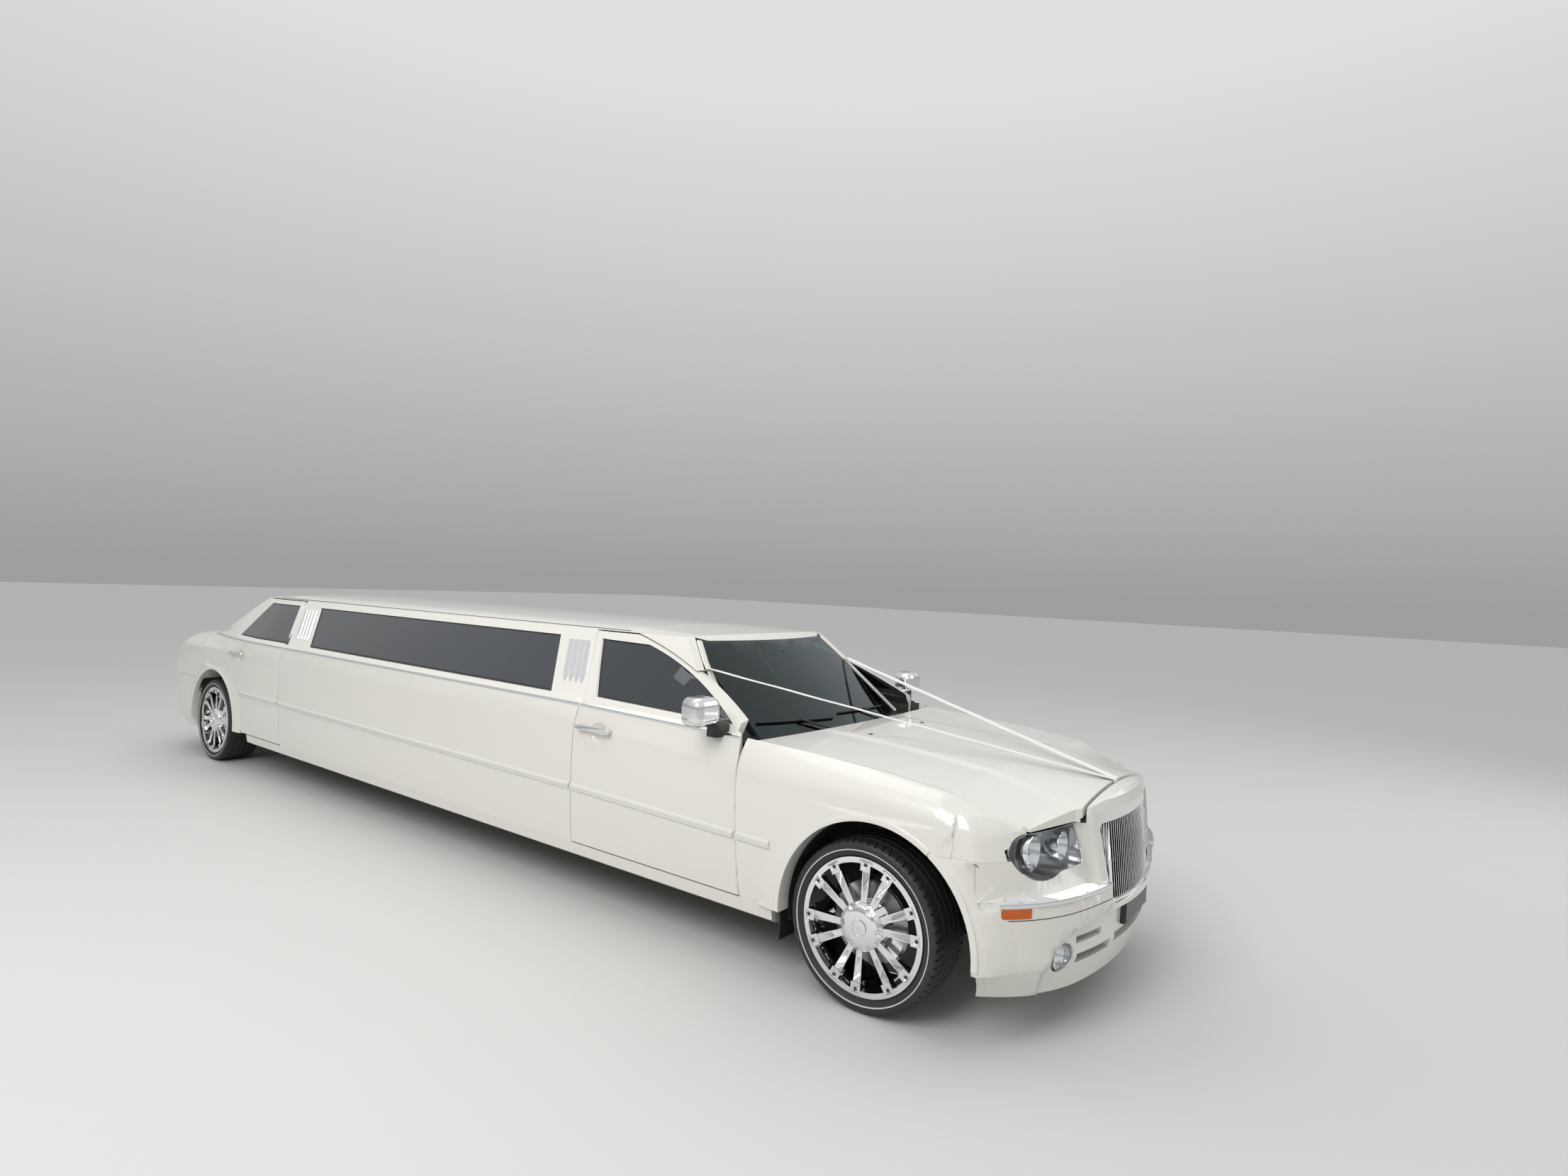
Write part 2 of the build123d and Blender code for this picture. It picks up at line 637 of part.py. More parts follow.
with BuildPart() as front_bumper:
    add(lamp_face_form)
    add(block(-FAR, FAR, FA - FAR, FA, SEAM_Z - SEAM, FAR), mode=Mode.SUBTRACT)
    add(bumper_form)
    add(front_flares.part)
    add(bumper_hollow, mode=Mode.SUBTRACT)
    add(lamp_face_hollow, mode=Mode.SUBTRACT)
    add(surround.part)
    add(grille_hole, mode=Mode.SUBTRACT)
    add(lamp_left_cut, mode=Mode.SUBTRACT)
    add(lamp_right_cut, mode=Mode.SUBTRACT)
    add(bumper_recess.part, mode=Mode.SUBTRACT)
    add(wheel_well_cut.part, mode=Mode.SUBTRACT)
    add(mirror(wheel_well_cut.part, about=Plane.YZ), mode=Mode.SUBTRACT)
    add(block(INTAKE[0], INTAKE[1], FA - 900, FA - 600, INTAKE[2], INTAKE[3]), mode=Mode.SUBTRACT)
    for x0, x1, z0, z1 in SLOTS:
        add(block(x0, x1, FA - 900, FA - 600, z0, z1), mode=Mode.SUBTRACT)
        add(block(-x1, -x0, FA - 900, FA - 600, z0, z1), mode=Mode.SUBTRACT)
    with BuildSketch(side_y(FA - 900)):
        with Locations((FOG_X, FOG_Z), (-FOG_X, FOG_Z)):
            Circle(FOG_R)
    extrude(amount=-300, mode=Mode.SUBTRACT)
    with BuildSketch(side_y(FA - 900)):
        with Locations((-PLATE_HOLE_PITCH / 2, FRONT_PLATE_Z), (PLATE_HOLE_PITCH / 2, FRONT_PLATE_Z)):
            Circle(PLATE_HOLE_R)
    extrude(amount=-300, mode=Mode.SUBTRACT)

# Headlamps flush with the nose, and fog lamps sunk in the bumper
with BuildPart() as fog_lamps:
    add(end_form(BUMPER, FA, NOSE_BACK + 60, RECESS + 6))
    with BuildSketch(side_y(FA - 900)):
        with Locations((FOG_X, FOG_Z), (-FOG_X, FOG_Z)):
            Circle(FOG_R - SEAT)
    extrude(amount=-220, mode=Mode.INTERSECT)

with BuildPart() as head_lamps:
    add(lamp_face_form)
    add(front_prism(lamp_outline, FA - 900, LAMP_BACK, -SEAT), mode=Mode.INTERSECT)
    mirror(about=Plane.YZ)

with BuildPart() as front_lamps:
    add(head_lamps.part)
    add(fog_lamps.part)

# Grille: upright bars in a chrome frame with a deep header, leaning back and bowed forwards
BARS = 37
BAR_W = 8
BAR_D = 26
GRILLE_RIM = 14
GRILLE_HEADER = 48
GRILLE_DEPTH = 48


def bars_outline():
    top_z, low_z = GRILLE_TOP_Z - GRILLE_HEADER, GRILLE_LOW_Z + GRILLE_RIM
    top_x, low_x = grille_half(top_z) - GRILLE_RIM, grille_half(low_z) - GRILLE_RIM
    Polyline((-top_x, top_z), (top_x, top_z), (low_x, low_z), (-low_x, low_z), (-top_x, top_z))


def bar_ends_outline():
    top_z, low_z = GRILLE_TOP_Z - GRILLE_HEADER + 8, GRILLE_LOW_Z + GRILLE_RIM - 8
    top_x, low_x = grille_half(top_z) - GRILLE_RIM + 4, grille_half(low_z) - GRILLE_RIM + 4
    Polyline((-top_x, top_z), (top_x, top_z), (low_x, low_z), (-low_x, low_z), (-top_x, top_z))


with BuildPart() as grille_frame:
    z0 = GRILLE_LOW_Z - 20
    with BuildSketch(Plane.XY.offset(z0)):
        with BuildLine():
            ends = GRILLE_TOP_X + 20
            a = ThreePointArc((-ends, grille_y(ends, z0)), (0, grille_y(0, z0)), (ends, grille_y(ends, z0)))
            b = ThreePointArc((-ends, grille_y(ends, z0) + GRILLE_DEPTH), (0, grille_y(0, z0) + GRILLE_DEPTH),
                              (ends, grille_y(ends, z0) + GRILLE_DEPTH))
            Line(a @ 0, b @ 0)
            Line(a @ 1, b @ 1)
        make_face()
    extrude(amount=GRILLE_TOP_Z + 20 - z0, dir=(0, GRILLE_LEAN, 1))
    add(front_prism(grille_outline, FA - 950, FA - 600, -SEAT, GRILLE_CORNER), mode=Mode.INTERSECT)
    add(front_prism(bars_outline, FA - 950, FA - 600, 0, 24), mode=Mode.SUBTRACT)

with BuildPart() as grille_bars:
    pitch = 2 * (GRILLE_TOP_X - GRILLE_RIM) / (BARS + 1)
    with BuildSketch(Plane.XY.offset(GRILLE_LOW_Z)):
        for i in range(BARS):
            x = (i - (BARS - 1) / 2) * pitch
            with Locations((x, grille_y(x, GRILLE_LOW_Z) + BAR_D / 2 + 6)):
                Rectangle(BAR_W, BAR_D)
    extrude(amount=GRILLE_TOP_Z - GRILLE_LOW_Z, dir=(0, GRILLE_LEAN, 1))
    add(front_prism(bar_ends_outline, FA - 950, FA - 600, 0, 20), mode=Mode.INTERSECT)

with BuildPart() as grille:
    add(grille_frame.part)
    add(grille_bars.part)

# Roof with its side rails and front pillars
Roof = namedtuple("Roof", "y rail_x crown_z shoulder_x shoulder_z")
ROOF = [
    Roof(FA + 1100, 603, 1448, 500, 1444),
    Roof(FA + 1800, 645, 1481, 540, 1464),
    Roof(RA - 1400, 645, 1494, 540, 1470),
    Roof(RA - 700, 645, 1492, 540, 1468),
    Roof(RA - 200, 625, 1466, 500, 1452),
]
with BuildPart() as screen_pillar:
    add(wall_left.part)
    add(block(0, FAR, FA + 560, FA + 1700, 1034, 1500), mode=Mode.INTERSECT)
    add(front_aperture, mode=Mode.SUBTRACT)
    add(door_nose(FRONT_HINGE_Y, 54, SHUT_GAP), mode=Mode.SUBTRACT)

with BuildPart() as roof:
    for r in ROOF:
        with BuildSketch(side_y(r.y)):
            with BuildLine():
                Polyline((-r.shoulder_x, r.shoulder_z), (-r.rail_x, RAIL_Z), (-r.rail_x + FRAME_WALL, RAIL_Z),
                         (-r.shoulder_x, r.shoulder_z - 25))
                ThreePointArc((-r.shoulder_x, r.shoulder_z - 25), (0, r.crown_z - ROOF_SKIN),
                              (r.shoulder_x, r.shoulder_z - 25))
                Polyline((r.shoulder_x, r.shoulder_z - 25), (r.rail_x - FRAME_WALL, RAIL_Z), (r.rail_x, RAIL_Z),
                         (r.shoulder_x, r.shoulder_z))
                ThreePointArc((r.shoulder_x, r.shoulder_z), (0, r.crown_z), (-r.shoulder_x, r.shoulder_z))
            make_face()
    loft(ruled=True)
    add(screen_pillar.part)
    add(mirror(screen_pillar.part, about=Plane.YZ))
    add(ahead_of_screen, mode=Mode.SUBTRACT)
    add(behind_backlight, mode=Mode.SUBTRACT)

# Windscreen and dark glass
with BuildPart() as windscreen:
    add(bowed_band(*SCREEN, SEAT, PANE_T, 40))
    with BuildSketch(Plane.XZ.offset(-FA)):
        with BuildLine():
            Polyline((-790, 962), (790, 962), (600, 1436), (-600, 1436), (-790, 962))
        make_face()
    extrude(amount=-1500, mode=Mode.INTERSECT)
    add(roof.part, mode=Mode.SUBTRACT)

with BuildPart() as backlight:
    add(bowed_band(*BACKLIGHT, -PANE_T, -1, 40))
    with BuildSketch(Plane.XZ.offset(-RA + 700)):
        with BuildLine():
            Polyline((-700, 1100), (700, 1100), (560, 1446), (-560, 1446), (-700, 1100))
        make_face()
    extrude(amount=-1500, mode=Mode.INTERSECT)
    add(quarter_panel_left.part, mode=Mode.SUBTRACT)
    add(mirror(quarter_panel_left.part, about=Plane.YZ), mode=Mode.SUBTRACT)
    add(roof.part, mode=Mode.SUBTRACT)

with BuildPart() as cabin_glass:
    add(glass_skin.part)
    add(side_cut(centre_window_outline, -SEAT), mode=Mode.INTERSECT)
    mirror(about=Plane.YZ)
    add(backlight.part)

# Front wing
Wing = namedtuple("Wing", "y low_x mid_x crease_x crease_z sagitta top_x top_z")
WING = [
    Wing(FA + 720, 920, 936, 921, 898, 3, 872, 1033),
    Wing(FA + 330, 922, 938, 932, 850, 22, 838, 1010),
    Wing(FA - 58, 924, 938, 933, 835, 34, 824, 982),
    Wing(FA - 330, 922, 938, 930, 812, 34, 822, 952),
    Wing(FA - 490, 922, 934, 922, 795, 28, 792, 892),
    Wing(FA - 625, 880, 886, 868, 772, 18, 722, 843),
]
WING_WALL = 48
PIN_R = 4
BONNET_HINGE_Y = FA + 608
BONNET_HINGE_Z = 1009
BONNET_PIN_END = 869


def pin_holes(y, z, reach):
    with BuildPart(mode=Mode.PRIVATE) as holes:
        with BuildSketch(Plane.YZ.offset(-reach - 1)):
            with Locations((y, z)):
                Circle(PIN_R + SEAT)
        extrude(amount=2 * reach + 2)
    return holes.part

with BuildPart() as front_corner:
    add(lamp_face_form)
    add(block(0, FAR, FA - 400, FA + 900, 0, 1500))

with BuildPart() as wing_left:
    for w in WING:
        with BuildSketch(side_y(w.y)):
            with BuildLine():
                ThreePointArc((w.low_x, WALL_LOW_Z), (w.mid_x, (WALL_LOW_Z + w.crease_z) / 2), (w.crease_x, w.crease_z))
                SagittaArc((w.crease_x, w.crease_z), (w.top_x, w.top_z), -w.sagitta)
                Polyline((w.top_x, w.top_z), (w.top_x, w.top_z - 45), (w.crease_x - WING_WALL - 22, w.crease_z - 10),
                         (w.low_x - WING_WALL, WALL_LOW_Z), (w.low_x, WALL_LOW_Z))
            make_face()
    loft(ruled=True)
    add(flare(FA, FLARE_FRONT_R))
    add(front_aperture, mode=Mode.SUBTRACT)
    add(door_nose(FRONT_HINGE_Y, 54, SHUT_GAP), mode=Mode.SUBTRACT)
    add(block(0, FAR, FA + 700, FA + 900, 0, 1500), mode=Mode.SUBTRACT)
    add(wheel_well_cut.part, mode=Mode.SUBTRACT)
    add(block(0, FAR, FA - FAR, FA - 150, 0, SEAM_Z), mode=Mode.SUBTRACT)
    add(front_corner.part, mode=Mode.INTERSECT)
    add(front_lamps.part, mode=Mode.SUBTRACT)
    add(lamp_left_cut, mode=Mode.SUBTRACT)
    add(roof.part, mode=Mode.SUBTRACT)
    add(pin_holes(BONNET_HINGE_Y, BONNET_HINGE_Z, BONNET_PIN_END), mode=Mode.SUBTRACT)

# Bonnet: a thin crown with a deeper brow over each lamp
BROW_IN = 456
BROW_LOW_Z = 838
bonnet_rear = (855, FA + 620)
with BuildPart() as bonnet_plan:
    with BuildSketch(Plane.XY.offset(700)):
        with BuildLine():
            side = [(w.top_x - SHUT_GAP, w.y) for w in reversed(WING[1:])]
            half = [(452, BONNET_FRONT_Y), (470, FA - 712), *side, bonnet_rear]
            Polyline((0, BONNET_FRONT_Y), *half)
            Polyline((0, BONNET_FRONT_Y), *[(-x, y) for x, y in half])
            ThreePointArc((-bonnet_rear[0], bonnet_rear[1]), (0, FA + 575), bonnet_rear)
        make_face()
    extrude(amount=500)

with BuildPart() as brows:
    add(crown_form(FAR / 8, 0))
    add(block(BROW_IN, FAR, FA - FAR, FA - 575, BROW_LOW_Z, FAR), mode=Mode.INTERSECT)
    mirror(about=Plane.YZ)

with BuildPart() as lamp_clearance:
    add(front_prism(lamp_outline, FA - 900, FA - 440, SHUT_GAP - 1))
    mirror(about=Plane.YZ)

with BuildPart() as bonnet:
    add(crown_form(BONNET_T, 0))
    add(brows.part)
    add(bonnet_plan.part, mode=Mode.INTERSECT)
    add(lamp_clearance.part, mode=Mode.SUBTRACT)
    with BuildSketch(Plane.YZ.offset(-BONNET_PIN_END)):
        with Locations((BONNET_HINGE_Y, BONNET_HINGE_Z)):
            Circle(PIN_R)
    extrude(amount=40)
    with BuildSketch(Plane.YZ.offset(BONNET_PIN_END)):
        with Locations((BONNET_HINGE_Y, BONNET_HINGE_Z)):
            Circle(PIN_R)
    extrude(amount=-40)

# Cowl between the bonnet and the windscreen
with BuildPart() as cowl:
    with BuildSketch(Plane.XY.offset(930)):
        with BuildLine():
            a = ThreePointArc((-842, FA + 620 + SHUT_GAP), (0, FA + 575 + SHUT_GAP), (842, FA + 620 + SHUT_GAP))
            Polyline(a @ 1, (842, FA + 900), (-842, FA + 900), a @ 0)
        make_face()
    extrude(amount=52)
    add(bowed_band(*SCREEN, 0, 900, 120), mode=Mode.SUBTRACT)
    add(wing_left.part, mode=Mode.SUBTRACT)
    add(mirror(wing_left.part, about=Plane.YZ), mode=Mode.SUBTRACT)
    add(roof.part, mode=Mode.SUBTRACT)
    with Locations((0, FA + 700, 956)):
        Box(1560, 400, 60, mode=Mode.INTERSECT)

# Tail: boot lid, lamps and rear bumper
with BuildPart() as rear_flares:
    add(flare(RA, FLARE_REAR_R))
    add(block(0, FAR, RA + 100, RA + FAR, 0, TAIL_SEAM_Z - SEAM), mode=Mode.INTERSECT)
    mirror(about=Plane.YZ)

LAMP_X = 640
LID_FRONT = REAR_WINDOW_FOOT + 60
LID_GAP = 9
BOOT_HINGE_Y = LID_FRONT + 45
BOOT_HINGE_Z = 1086
BOOT_PIN_END = 722
REAR_PLATE_Z = 850
with BuildPart() as rear_bumper:
    add(tail_form)
    add(rear_flares.part)
    add(tail_hollow, mode=Mode.SUBTRACT)
    add(block(-FAR, FAR, RA, RA + FAR, TAIL_SEAM_Z - SEAM, FAR), mode=Mode.SUBTRACT)
    add(wheel_well_cut.part, mode=Mode.SUBTRACT)
    add(mirror(wheel_well_cut.part, about=Plane.YZ), mode=Mode.SUBTRACT)

with BuildPart() as quarter_trimmed:
    add(quarter_panel_left.part)
    add(block(0, FAR, RA + 100, RA + FAR, 0, TAIL_SEAM_Z), mode=Mode.SUBTRACT)
    add(pin_holes(BOOT_HINGE_Y, BOOT_HINGE_Z, BOOT_PIN_END), mode=Mode.SUBTRACT)

# Shelf behind the rear seat, with the panel between the rear window and the boot lid
with BuildPart() as parcel_shelf:
    add(block(-760, 760, RA - 240, LID_FRONT - LID_GAP, 1058, 1072))
    add(block(-760, 760, REAR_WINDOW_FOOT - 60, LID_FRONT - LID_GAP, 1058, 1094))
    add(bowed_band(*BACKLIGHT, -PANE_T - 1, 0, 40), mode=Mode.SUBTRACT)
    add(quarter_trimmed.part, mode=Mode.SUBTRACT)
    add(mirror(quarter_trimmed.part, about=Plane.YZ), mode=Mode.SUBTRACT)

with BuildPart() as tail_lamps:
    add(tail_form)
    add(block(LAMP_X, 960, TAIL_Y + SEAT, RA + FAR, TAIL_SEAM_Z + SEAT, 1000), mode=Mode.INTERSECT)
    mirror(about=Plane.YZ)

Deck = namedtuple("Deck", "y half_x edge_z crown_z")
DECK = [Deck(LID_FRONT, 708, 1094, 1104), Deck(RA + 970, 652, 1050, 1066)]
with BuildPart() as boot_face:
    add(tail_form)
    add(tail_hollow, mode=Mode.SUBTRACT)
    add(block(-LAMP_X + SHUT_GAP, LAMP_X - SHUT_GAP, RA + 900, RA + FAR, TAIL_SEAM_Z + SHUT_GAP, FAR),
        mode=Mode.INTERSECT)

with BuildPart() as boot_lid:
    for d in DECK:
        with BuildSketch(side_y(d.y)):
            with BuildLine():
                top = ThreePointArc((-d.half_x, d.edge_z), (0, d.crown_z), (d.half_x, d.edge_z))
                Polyline(top @ 0, (-d.half_x, d.edge_z - 40), (d.half_x, d.edge_z - 40), top @ 1)
            make_face()
    loft(ruled=True)
    add(boot_face.part)
    add(block(-900, 900, RA + 200, RA + FAR, 600, 1200), mode=Mode.INTERSECT)
    with BuildSketch(side_y(RA + 900)):
        with Locations((-PLATE_HOLE_PITCH / 2, REAR_PLATE_Z), (PLATE_HOLE_PITCH / 2, REAR_PLATE_Z)):
            Circle(PLATE_HOLE_R)
    extrude(amount=-300, mode=Mode.SUBTRACT)
    with BuildSketch(Plane.YZ.offset(-BOOT_PIN_END)):
        with Locations((BOOT_HINGE_Y, BOOT_HINGE_Z)):
            Circle(PIN_R)
    extrude(amount=40)
    with BuildSketch(Plane.YZ.offset(BOOT_PIN_END)):
        with Locations((BOOT_HINGE_Y, BOOT_HINGE_Z)):
            Circle(PIN_R)
    extrude(amount=-40)

# Sills below the doors
SILL_FRONT = FA + 445
SILL_REAR = RA - 712
SILL_IN = 772
FLOOR_Z = 232
FLOOR_T = 26
with BuildPart() as sills:
    with BuildSketch(side_y(SILL_FRONT)):
        with BuildLine():
            Polyline((880, 243), (912, 262), (921, WALL_LOW_Z), (SILL_IN, WALL_LOW_Z), (SILL_IN, 243), (880, 243))
        make_face()
    extrude(amount=-(SILL_REAR - SILL_FRONT))
    with BuildSketch(Plane.XY.offset(WALL_LOW_Z - 10)):
        with Locations((HINGE_X, FRONT_HINGE_Y), (HINGE_X, REAR_HINGE_Y)):
            Circle(PIVOT_R)
    extrude(amount=PIVOT_H + 10)
    mirror(about=Plane.YZ)

# Floor with its tunnel, bulkhead, rear seat step and boot floor
TUNNEL_X = 120
TUNNEL_Z = 360
WELL_X = 462
BULKHEAD_Y = FA + 500
STEP_Y = RA - 520
STEP_Z = 560
BOOT_END = RA + 900
with BuildPart() as floor_pan:
    with BuildSketch(side_y(BULKHEAD_Y)):
        with BuildLine():
            Polyline((-SILL_IN, FLOOR_Z), (-TUNNEL_X, FLOOR_Z), (-TUNNEL_X, TUNNEL_Z), (TUNNEL_X, TUNNEL_Z),
                     (TUNNEL_X, FLOOR_Z), (SILL_IN, FLOOR_Z), (SILL_IN, FLOOR_Z + FLOOR_T),
                     (TUNNEL_X + FLOOR_T, FLOOR_Z + FLOOR_T), (TUNNEL_X + FLOOR_T, TUNNEL_Z + FLOOR_T),
                     (-TUNNEL_X - FLOOR_T, TUNNEL_Z + FLOOR_T), (-TUNNEL_X - FLOOR_T, FLOOR_Z + FLOOR_T),
                     (-SILL_IN, FLOOR_Z + FLOOR_T), (-SILL_IN, FLOOR_Z))
        make_face()
    extrude(amount=-(STEP_Y - BULKHEAD_Y))
    add(block(-SILL_IN, SILL_IN, BULKHEAD_Y, BULKHEAD_Y + FLOOR_T, FLOOR_Z, WALL_LOW_Z + SEAT))
    add(block(-800, 800, BULKHEAD_Y, BULKHEAD_Y + FLOOR_T, WALL_LOW_Z + SEAT, 925))
    add(block(-800, 800, STEP_Y - FLOOR_T, STEP_Y, FLOOR_Z, STEP_Z))
    add(block(-WELL_X, WELL_X, STEP_Y - FLOOR_T, RA + 420, STEP_Z - FLOOR_T, STEP_Z))
    add(block(-WELL_X, WELL_X, RA + 420 - FLOOR_T, RA + 420, 360, STEP_Z))
    add(block(-700, 700, RA + 400, BOOT_END, 360, 360 + FLOOR_T))

# Stretched chassis frame under the floor
RAIL_X = 430
with BuildPart() as chassis_frame:
    for x in (-RAIL_X, RAIL_X):
        add(block(x - 45, x + 45, BULKHEAD_Y, STEP_Y, 172, FLOOR_Z))
    span = STEP_Y - BULKHEAD_Y
    for k in range(6):
        y = BULKHEAD_Y + 120 + k * (span - 240) / 5
        add(block(-SILL_IN + 6, SILL_IN - 6, y - 40, y + 40, 172 + 26 + SEAT, FLOOR_Z))

# Liners inside the wheel arches, with the flaps behind the front wheels
LINER_T = 6
with BuildPart() as wheel_housings:
    for axle, outer in ((FA, 868), (RA, 846)):
        with BuildSketch(Plane.YZ.offset(WELL_X)):
            with Locations((axle + ARCH_SHIFT, AXLE_Z)):
                Circle(ARCH_R + LINER_T)
                Circle(ARCH_R, mode=Mode.SUBTRACT)
        extrude(amount=outer - WELL_X)
        with BuildSketch(Plane.YZ.offset(WELL_X)):
            with Locations((axle + ARCH_SHIFT, AXLE_Z)):
                Circle(ARCH_R + LINER_T)
            with Locations((axle, AXLE_Z)):
                RectangleRounded(410, 410, 60, mode=Mode.SUBTRACT)
        extrude(amount=LINER_T)
    add(block(0, FAR, FA - FAR, RA + FAR, -FAR, 268), mode=Mode.SUBTRACT)
    add(block(760, 915, FA + 398, FA + 404, 190, 420))
    add(wall_left.part, mode=Mode.SUBTRACT)
    add(wing_left.part, mode=Mode.SUBTRACT)
    add(front_bumper.part, mode=Mode.SUBTRACT)
    add(rear_bumper.part, mode=Mode.SUBTRACT)
    mirror(about=Plane.YZ)

# Engine and gearbox as one plain block, and the radiator behind the grille
with BuildPart() as engine:
    add(block(-300, 300, FA - 430, FA + 250, 320 + SEAT, 830))
    add(block(-100, 100, FA + 250, FA + 480, 300, 520))

with BuildPart() as radiator:
    add(block(-350, 350, FA - 640, FA - 600, 330, 820))
    add(block(-560, 560, FA - 600, FA - 560, 570, 630))
    add(block(-560, 560, FA - 600, FA - 560, 300, 360))

KNUCKLE_X = STEER_X
KNUCKLE_LOW = 262
KNUCKLE_TOP = 500
ARM_T = 26
KINGPIN_R = 12
KINGPIN_H = 20

# Front subframe with its lower arms, and the rear axle carrier with half shafts
with BuildPart() as front_suspension:
    add(block(-400, 400, FA - 170, FA + 170, 255, 320))
    for x in (-1, 1):
        for y in (-200, 60):
            with BuildSketch(Plane.XY.offset(KNUCKLE_LOW - SEAT - ARM_T)):
                with BuildLine():
                    Polyline((x * 380, FA + y + 40), (x * 770, FA - 24), (x * 770, FA + 24), (x * 380, FA + y + 100),
                             (x * 380, FA + y + 40))
                make_face()
            extrude(amount=ARM_T)
        x0, x1 = sorted((x * 360, x * 420))
        add(block(x0, x1, FA - 560 + SEAT, BULKHEAD_Y, 320, 400))
        add(block(x0, x1, FA - 60, FA + 60, 255, 560))
        x0, x1 = sorted((x * 400, x * 770))
        add(block(x0, x1, FA - 24, FA + 24, KNUCKLE_TOP + SEAT, KNUCKLE_TOP + SEAT + ARM_T))
    with BuildSketch(Plane.XY.offset(KNUCKLE_LOW - 2 * ARM_T)):
        with Locations((-KNUCKLE_X, FA), (KNUCKLE_X, FA)):
            Circle(KINGPIN_R + SEAT)
    extrude(amount=KNUCKLE_TOP - KNUCKLE_LOW + 4 * ARM_T, mode=Mode.SUBTRACT)

with BuildPart() as rear_axle:
    with BuildSketch(Plane.YZ.offset(-640)):
        with Locations((RA, AXLE_Z)):
            Circle(28)
    extrude(amount=1280)
    with Locations((0, RA, AXLE_Z)):
        Box(240, 260, 230)
    add(block(-440, 440, RA - 300, RA - 220, 250, 320))
    add(block(-440, 440, RA + 220, RA + 300, 250, 320))
    for x in (-400, 400):
        add(block(x - 35, x + 35, RA - 300, RA + 300, 250, 330))
        add(block(x - 25, x + 25, RA - 60, RA + 60, 250, 352))
        for y in (-250, 250):
            with BuildSketch(Plane.XY.offset(300)):
                with Locations((x, RA + y)):
                    Circle(32)
            extrude(amount=STEP_Z - FLOOR_T - 300)

with BuildPart() as exhaust:
    for x in (-1, 1):
        with BuildSketch(side_y(FA + 480)):
            with Locations((x * 330, 172)):
                Circle(26)
        extrude(amount=-(RA + 450 - FA - 480))
        with BuildSketch(side_y(RA + 430)):
            with Locations((x * 430, 215)):
                RectangleRounded(240, 100, 45)
        extrude(amount=-330)
        with BuildSketch(side_y(RA + 740)):
            with Locations((x * 430, 196)):
                Circle(29)
        extrude(amount=-290)

# Cabin furniture
SEAT_Z = 380
with BuildPart() as front_seats:
    for x in (-370, 370):
        with BuildSketch(Plane.YZ.offset(x - 215)):
            with BuildLine():
                Polyline((FA + 1010, SEAT_Z), (FA + 1560, SEAT_Z), (FA + 1800, 1010), (FA + 1700, 1040),
                         (FA + 1480, 560), (FA + 1010, 590), (FA + 1010, SEAT_Z))
            make_face()
        extrude(amount=430)
        add(block(x - 130, x + 130, FA + 1740, FA + 1830, 1050, 1240))
        add(block(x - 30, x + 30, FA + 1740, FA + 1780, 980, 1060))
        add(block(x - 200, x + 200, FA + 1100, FA + 1500, FLOOR_Z + FLOOR_T, SEAT_Z))

with BuildPart() as rear_seats:
    with BuildSketch(Plane.YZ.offset(-700)):
        with BuildLine():
            Polyline((RA - 1000, FLOOR_Z + FLOOR_T), (RA - 1000, 620), (RA - 500, 600), (RA - 330, 1060),
                     (RA - 250, 1060), (RA - 440, 580), (STEP_Y - FLOOR_T - 1, 560),
                     (STEP_Y - FLOOR_T - 1, FLOOR_Z + FLOOR_T), (RA - 1000, FLOOR_Z + FLOOR_T))
        make_face()
    extrude(amount=1400)
    add(block(-148, 148, RA - FAR, STEP_Y, FLOOR_Z, 390), mode=Mode.SUBTRACT)
    for s in (-1, 1):
        x0, x1 = sorted((s * (WELL_X - 2), s * FAR))
        add(block(x0, x1, RA - 530, RA, 0, 850), mode=Mode.SUBTRACT)

with BuildPart() as side_bench:
    with BuildSketch(side_y(FA + 2300)):
        with BuildLine():
            Polyline((765, FLOOR_Z + FLOOR_T), (280, FLOOR_Z + FLOOR_T), (280, 620), (700, 600), (770, 1050),
                     (822, 1050), (822, WALL_LOW_Z + 6), (765, WALL_LOW_Z + 6), (765, FLOOR_Z + FLOOR_T))
        make_face()
    extrude(amount=-(RA - 1400 - FA - 2300))

with BuildPart() as partition:
    add(block(-600, 600, FA + 2020, FA + 2050, FLOOR_Z + FLOOR_T, 1420))
    add(block(-760, 760, FA + 2020, FA + 2050, FLOOR_Z + FLOOR_T, 1040))
    add(block(-148, 148, FA + 2010, FA + 2060, FLOOR_Z, 390), mode=Mode.SUBTRACT)

with BuildPart() as dashboard:
    with BuildSketch(Plane.YZ.offset(-780)):
        with BuildLine():
            Polyline((BULKHEAD_Y + FLOOR_T + SEAT, 780), (BULKHEAD_Y + FLOOR_T + SEAT, 930 - SEAT),
                     (FA + 740, 930 - SEAT), (FA + 800, 966), (FA + 1010, 958), (FA + 1060, 900),
                     (FA + 960, 700), (FA + 700, 700), (BULKHEAD_Y + FLOOR_T + SEAT, 780))
        make_face()
    extrude(amount=1560)

# Steering wheel on the car's right
COLUMN_X = -370
STEERING_R = 178
STEERING_RIM = 15
with BuildPart() as steering_wheel:
    tilt = Plane(origin=(COLUMN_X, FA + 1150, 880), x_dir=(1, 0, 0), z_dir=(0, 0.87, 0.5))
    with BuildSketch(Plane(origin=tilt.origin, x_dir=tilt.x_dir, z_dir=-tilt.y_dir)):
        with Locations((STEERING_R, 0)):
            RegularPolygon(STEERING_RIM, 8)
    revolve(axis=Axis(tilt.origin, tilt.z_dir))
    with Locations(tilt):
        Cylinder(60, 30)
        with PolarLocations(110, 3, start_angle=-90):
            Box(130, 34, 16)
        with Locations((0, 0, -95)):
            Cylinder(24, 180)
    add(dashboard.part, mode=Mode.SUBTRACT)

